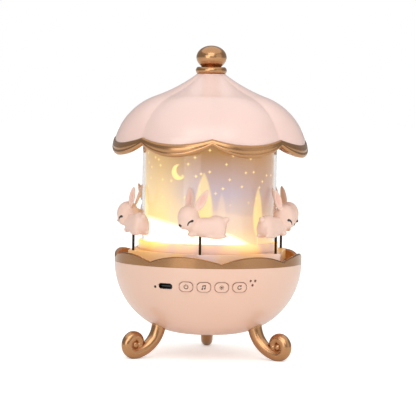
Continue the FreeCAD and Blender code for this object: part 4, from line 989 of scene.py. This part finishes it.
def sign_place(name, ahead):
    """Place on the middle of a button's face, with its z out of the face and its y upwards."""
    low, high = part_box(name)
    mesh = NODES[name].data
    tree = BVHTree.FromPolygons(
        [vert.co for vert in mesh.vertices], [face.vertices for face in mesh.polygons])
    start = Vector(((low.x + high.x) / 2, low.y - ahead, (low.z + high.z) / 2))
    spot, normal = tree.ray_cast(start, Vector((0, 1, 0)))[:2]
    if spot is None:
        raise RuntimeError(f"a sign misses {name}")
    right = Vector((0, 0, 1)).cross(normal).normalized()
    basis = Matrix((right, normal.cross(right), normal)).transposed().to_4x4()
    return Matrix.Translation(spot) @ basis


class MUSIC_BOX_OT_shells(Operator):
    """Finishes the pink roof, bowl, drum foot, table and buttons"""

    bl_idname = "music_box.shells"
    bl_label = "Pink shells"

    def execute(self, context):
        tones = context.scene.music_box.colours
        # Bowl and buttons take the bowl's painted-shade pink
        dress(satin_plastic("bowl_pink", tones.bowl, tones.bowl_deep), "bowl")
        dress(satin_plastic("lobed_pink", tones.pink, tones.pink_deep, crease=ROOF_CREASE), "roof_shell")
        for name, node, glow in (
            ("lamplit_foot", "drum_foot", FOOT_GLOW),
            ("lamplit_table", "turntable", TABLE_GLOW),
        ):
            dress(lamplit_plastic(name, node, tones.pink, tones.ember, glow), node)
        dress(satin_plastic("button_pink", tones.bowl, tones.bowl_deep, 0.25), *SIGNS)
        return {"FINISHED"}


class MUSIC_BOX_OT_gold(Operator):
    """Finishes the gold trim, collar, rim and legs, and turns the finial's ball"""

    bl_idname = "music_box.gold"
    bl_label = "Gold trim"

    def execute(self, context):
        settings = context.scene.music_box
        tones = settings.colours
        gold = champagne_gold("champagne_gold", tones.gold, tones.gold_deep).material
        dress(gold, "roof_trim", "finial_collar", "leg_1", "leg_2", "leg_3")
        # The rim's gold is the same gold, darkened: painted shade
        rim_gold = dimmed(tones.gold, RIM_PAINTED_SHADE)
        rim_glow = settings.stage.rim_glow
        dress(lamplit_rim("lamplit_gold", rim_gold, tones.gold_deep, tones.lamp, rim_glow), "bowl_rim")
        knob = piece("finial_ball", turned(knob_outline(settings.sizes)), "roof", (gold,))
        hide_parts("finial_knob")
        return {"FINISHED"}


class MUSIC_BOX_OT_drum(Operator):
    """Finishes the clear drum, the lit film and the lamp"""

    bl_idname = "music_box.drum"
    bl_label = "Drum and lamp"

    def execute(self, context):
        settings = context.scene.music_box
        dress(clear_wall("clear_drum"), "clear_drum")
        dress(landscape_film("landscape_film", settings.colours, settings.stage.glow), "film_sleeve")
        dress(frosted_lamp("lamp_lens", LENS_LIGHT, LENS_POWER), "lamp_lens")
        dress(frosted_lamp("lamp_chip", CHIP_LIGHT, CHIP_POWER), "lamp_led")
        return {"FINISHED"}


class MUSIC_BOX_OT_works(Operator):
    """Finishes the drive, boards, battery, speaker, socket and fasteners"""

    bl_idname = "music_box.works"
    bl_label = "Works"

    def execute(self, context):
        steel = metal("steel", STEEL, 0.25)
        dress(steel, *[name for name in NODES if name.endswith(("screws", "screw"))])
        dress(steel, "retaining_clip", "motor", "motor_shaft", "tact_switches")
        dress(
            satin_plastic("white_plastic", WHITE_PLASTIC, dimmed(WHITE_PLASTIC, 0.9), 0.45),
            "roof_plate", "deck", "lamp_post", "battery_cradle", "drive_gear", "motor_pinion")
        dress(
            satin_plastic("bearing_plastic", BEARING_PLASTIC, BEARING_DEEP, 0.35),
            "bearing_bush", "thrust_washer")
        dress(
            circuit_board("solder_mask"), "lamp_board", "main_board", "charge_board", "button_board")
        dress(wrapped_cell("cell_wrap"), "battery")
        dress(satin_plastic("speaker_paper", SPEAKER_PAPER, SPEAKER_DEEP, 0.7), "speaker")
        dress(open_foam("gasket_foam", GASKET_FOAM), "speaker_gasket")
        dress(
            satin_plastic("socket_black", SOCKET_BLACK, SOCKET_DEEP, 0.3), "usb_socket", "status_led")
        return {"FINISHED"}


class MUSIC_BOX_OT_rabbits(Operator):
    """Builds the six rabbits and finishes their poles"""

    bl_idname = "music_box.rabbits"
    bl_label = "Rabbits and poles"

    def execute(self, context):
        settings = context.scene.music_box
        tones = settings.colours
        orders = range(1, RABBITS + 1)
        dress(metal("pole_wire", tones.wire, 0.3), *[f"pole_{order}" for order in orders])
        skin = rabbit_form(settings.sizes)
        face = rabbit_face(skin, settings.sizes)
        finishes = (
            rabbit_skin("rabbit_skin", tones.rabbit, tones.blush),
            glossy_ink("rabbit_ink", tones.ink),
        )
        for order in orders:
            place = rabbit_place(order)
            bm = bmesh.new()
            for index, form in enumerate((skin, face)):
                add_copy(bm, form, place, index)
            if place.is_negative:
                bmesh.ops.reverse_faces(bm, faces=bm.faces)
            figure = piece(f"rabbit_figure_{order}", bm, "carousel", finishes)
            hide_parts(f"rabbit_{order}")
        skin.free()
        face.free()
        return {"FINISHED"}


class MUSIC_BOX_OT_signs(Operator):
    """Prints a plain sign on each button"""

    bl_idname = "music_box.signs"
    bl_label = "Button signs"

    def execute(self, context):
        settings = context.scene.music_box
        sizes = settings.sizes
        mark = settings.colours.mark
        print_ink = satin_plastic("button_print", mark, dimmed(mark, 0.8), 0.5)
        for name, draw in SIGNS.items():
            bm = bmesh.new()
            draw(bm, sizes.mark_radius, sizes.mark_line, sizes.mark_deep)
            bmesh.ops.remove_doubles(bm, verts=bm.verts, dist=WELD)
            bmesh.ops.recalc_face_normals(bm, faces=bm.faces)
            bmesh.ops.transform(bm, matrix=sign_place(name, sizes.mark_radius), verts=bm.verts)
            piece(name.replace("button", "sign"), bm, name, (print_ink,))
        return {"FINISHED"}


# The stage. Lengths are metres, and a soft box has its place and its side
SOFT_BOXES = {
    "key": ((-0.05, -1.08, 0.85), 1.0),
    "gloss": ((-0.62, -1.1, 0.36), 0.7),
    "fill": ((0.95, -0.55, 0.35), 1.0),
}
SUN_SPREAD = math.radians(100)
SIDE_GREY = (0.38, 0.38, 0.38)
TOP_GREY = (0.46, 0.46, 0.46)
SIDE_GREY_UP_TO = 0.3
FLOOR_REACH = 12.0
FLOOR_CELLS = 8
FLOOR_DRIFT = 0.4
FLOOR_BOUNCE = 0.25
NEAR_CLIP = 0.05


def lay_floor(scene, glow):
    """White paper that looks brighter to the camera than it lights the object."""
    bm = bmesh.new()
    bmesh.ops.create_grid(bm, x_segments=FLOOR_CELLS, y_segments=FLOOR_CELLS, size=FLOOR_REACH)
    mesh = bpy.data.meshes.new("floor")
    bm.to_mesh(mesh)
    bm.free()
    paper = Finish("floor_paper", {"Roughness": 0.9, "Emission Strength": glow})
    tone = paper.mix(paper.noise(FLOOR_DRIFT), FLOOR_PAPER, dimmed(FLOOR_PAPER, 0.99))
    seen = paper.node("ShaderNodeLightPath", out="Is Camera Ray")
    bounce = dimmed(FLOOR_PAPER, FLOOR_BOUNCE)
    paper.feed({"Base Color": tone, "Emission Color": paper.mix(seen, bounce, tone)})
    mesh.materials.append(paper.material)
    floor = bpy.data.objects.new("floor", mesh)
    scene.collection.objects.link(floor)


def hang_sky(scene):
    """World that looks white to the camera and lights with a grey that is palest overhead."""
    world = bpy.data.worlds.new("studio")
    world.use_nodes = True
    scene.world = world
    kit = NodeKit(world.node_tree)
    rise = kit.split(kit.node("ShaderNodeTexCoord", out="Generated"))[2]
    stops = [(SIDE_GREY_UP_TO, SIDE_GREY), (1.0, TOP_GREY)]
    tone = kit.node("ShaderNodeValToRGB", {"stops": stops}, {"Fac": rise})
    seen = kit.node("ShaderNodeLightPath", out="Is Camera Ray")
    kit.fill(world.node_tree.nodes["Background"].inputs["Color"], kit.mix(seen, tone, WHITE))


def add_light(scene, name, kind, power):
    """Lamp of a kind at the origin, pointing down."""
    data = bpy.data.lights.new(name, kind)
    data.energy = power
    lamp = bpy.data.objects.new(name, data)
    scene.collection.objects.link(lamp)
    return lamp


def hang_lights(scene, stage):
    """Soft boxes aimed at the middle of the object, and a wide sun overhead."""
    middle = Vector((0.0, 0.0, CAD_BOX[1].z / 2))
    for name, (place, side) in SOFT_BOXES.items():
        lamp = add_light(scene, f"{name}_light", "AREA", getattr(stage, f"{name}_power"))
        lamp.data.size = side
        lamp.location = place
        lamp.rotation_euler = (middle - Vector(place)).to_track_quat("-Z", "Y").to_euler()
        lamp.visible_diffuse = name != "gloss"
    add_light(scene, "sky_light", "SUN", stage.sun_power).data.angle = SUN_SPREAD


def aim_camera(scene, stage):
    """Camera at the place and with the lens of the settings."""
    data = bpy.data.cameras.new("camera")
    data.lens = data.sensor_width * stage.focal_pixels / PIXELS
    data.clip_start = NEAR_CLIP
    camera = bpy.data.objects.new("camera", data)
    scene.collection.objects.link(camera)
    spot = Matrix.Translation((stage.camera_side, -stage.camera_back, stage.camera_high))
    turn = Matrix.Rotation(-stage.turn, 4, "Z")
    tilt = Matrix.Rotation(math.pi / 2 - stage.tilt, 4, "X")
    camera.matrix_world = spot @ turn @ tilt @ Matrix.Rotation(stage.roll, 4, "Z")
    scene.camera = camera


class MUSIC_BOX_OT_stage(Operator):
    """Sets the floor, the light and the camera"""

    bl_idname = "music_box.stage"
    bl_label = "Studio"

    def execute(self, context):
        scene = context.scene
        stage = scene.music_box.stage
        lay_floor(scene, stage.floor_glow)
        hang_sky(scene)
        hang_lights(scene, stage)
        aim_camera(scene, stage)
        scene.view_settings.view_transform = "Standard"
        return {"FINISHED"}


OPERATORS = (
    MUSIC_BOX_OT_shells,
    MUSIC_BOX_OT_gold,
    MUSIC_BOX_OT_drum,
    MUSIC_BOX_OT_works,
    MUSIC_BOX_OT_rabbits,
    MUSIC_BOX_OT_signs,
    MUSIC_BOX_OT_stage,
)


class MUSIC_BOX_PT_panel(Panel):
    """Lists the music box's steps and settings"""

    bl_idname = "MUSIC_BOX_PT_panel"
    bl_label = "Carousel music box"
    bl_space_type = "VIEW_3D"
    bl_region_type = "UI"
    bl_category = "Music box"

    def draw(self, context):
        settings = context.scene.music_box
        for group in (settings.colours, settings.sizes, settings.stage):
            box = self.layout.box()
            for name in group.bl_rna.properties.keys():
                if name not in ("rna_type", "name"):
                    box.prop(group, name)
        for operator in OPERATORS:
            self.layout.operator(operator.bl_idname)


CLASSES = (
    MusicBoxColours,
    MusicBoxSizes,
    MusicBoxStage,
    MusicBoxSettings,
    *OPERATORS,
    MUSIC_BOX_PT_panel,
)


def register():
    for cls in CLASSES:
        bpy.utils.register_class(cls)
    bpy.types.Scene.music_box = PointerProperty(type=MusicBoxSettings)


def unregister():
    del bpy.types.Scene.music_box
    for cls in reversed(CLASSES):
        bpy.utils.unregister_class(cls)


def main():
    register()
    for operator in OPERATORS:
        getattr(bpy.ops.music_box, operator.bl_idname.split(".")[1])()


if __name__ == "__main__":
    main()
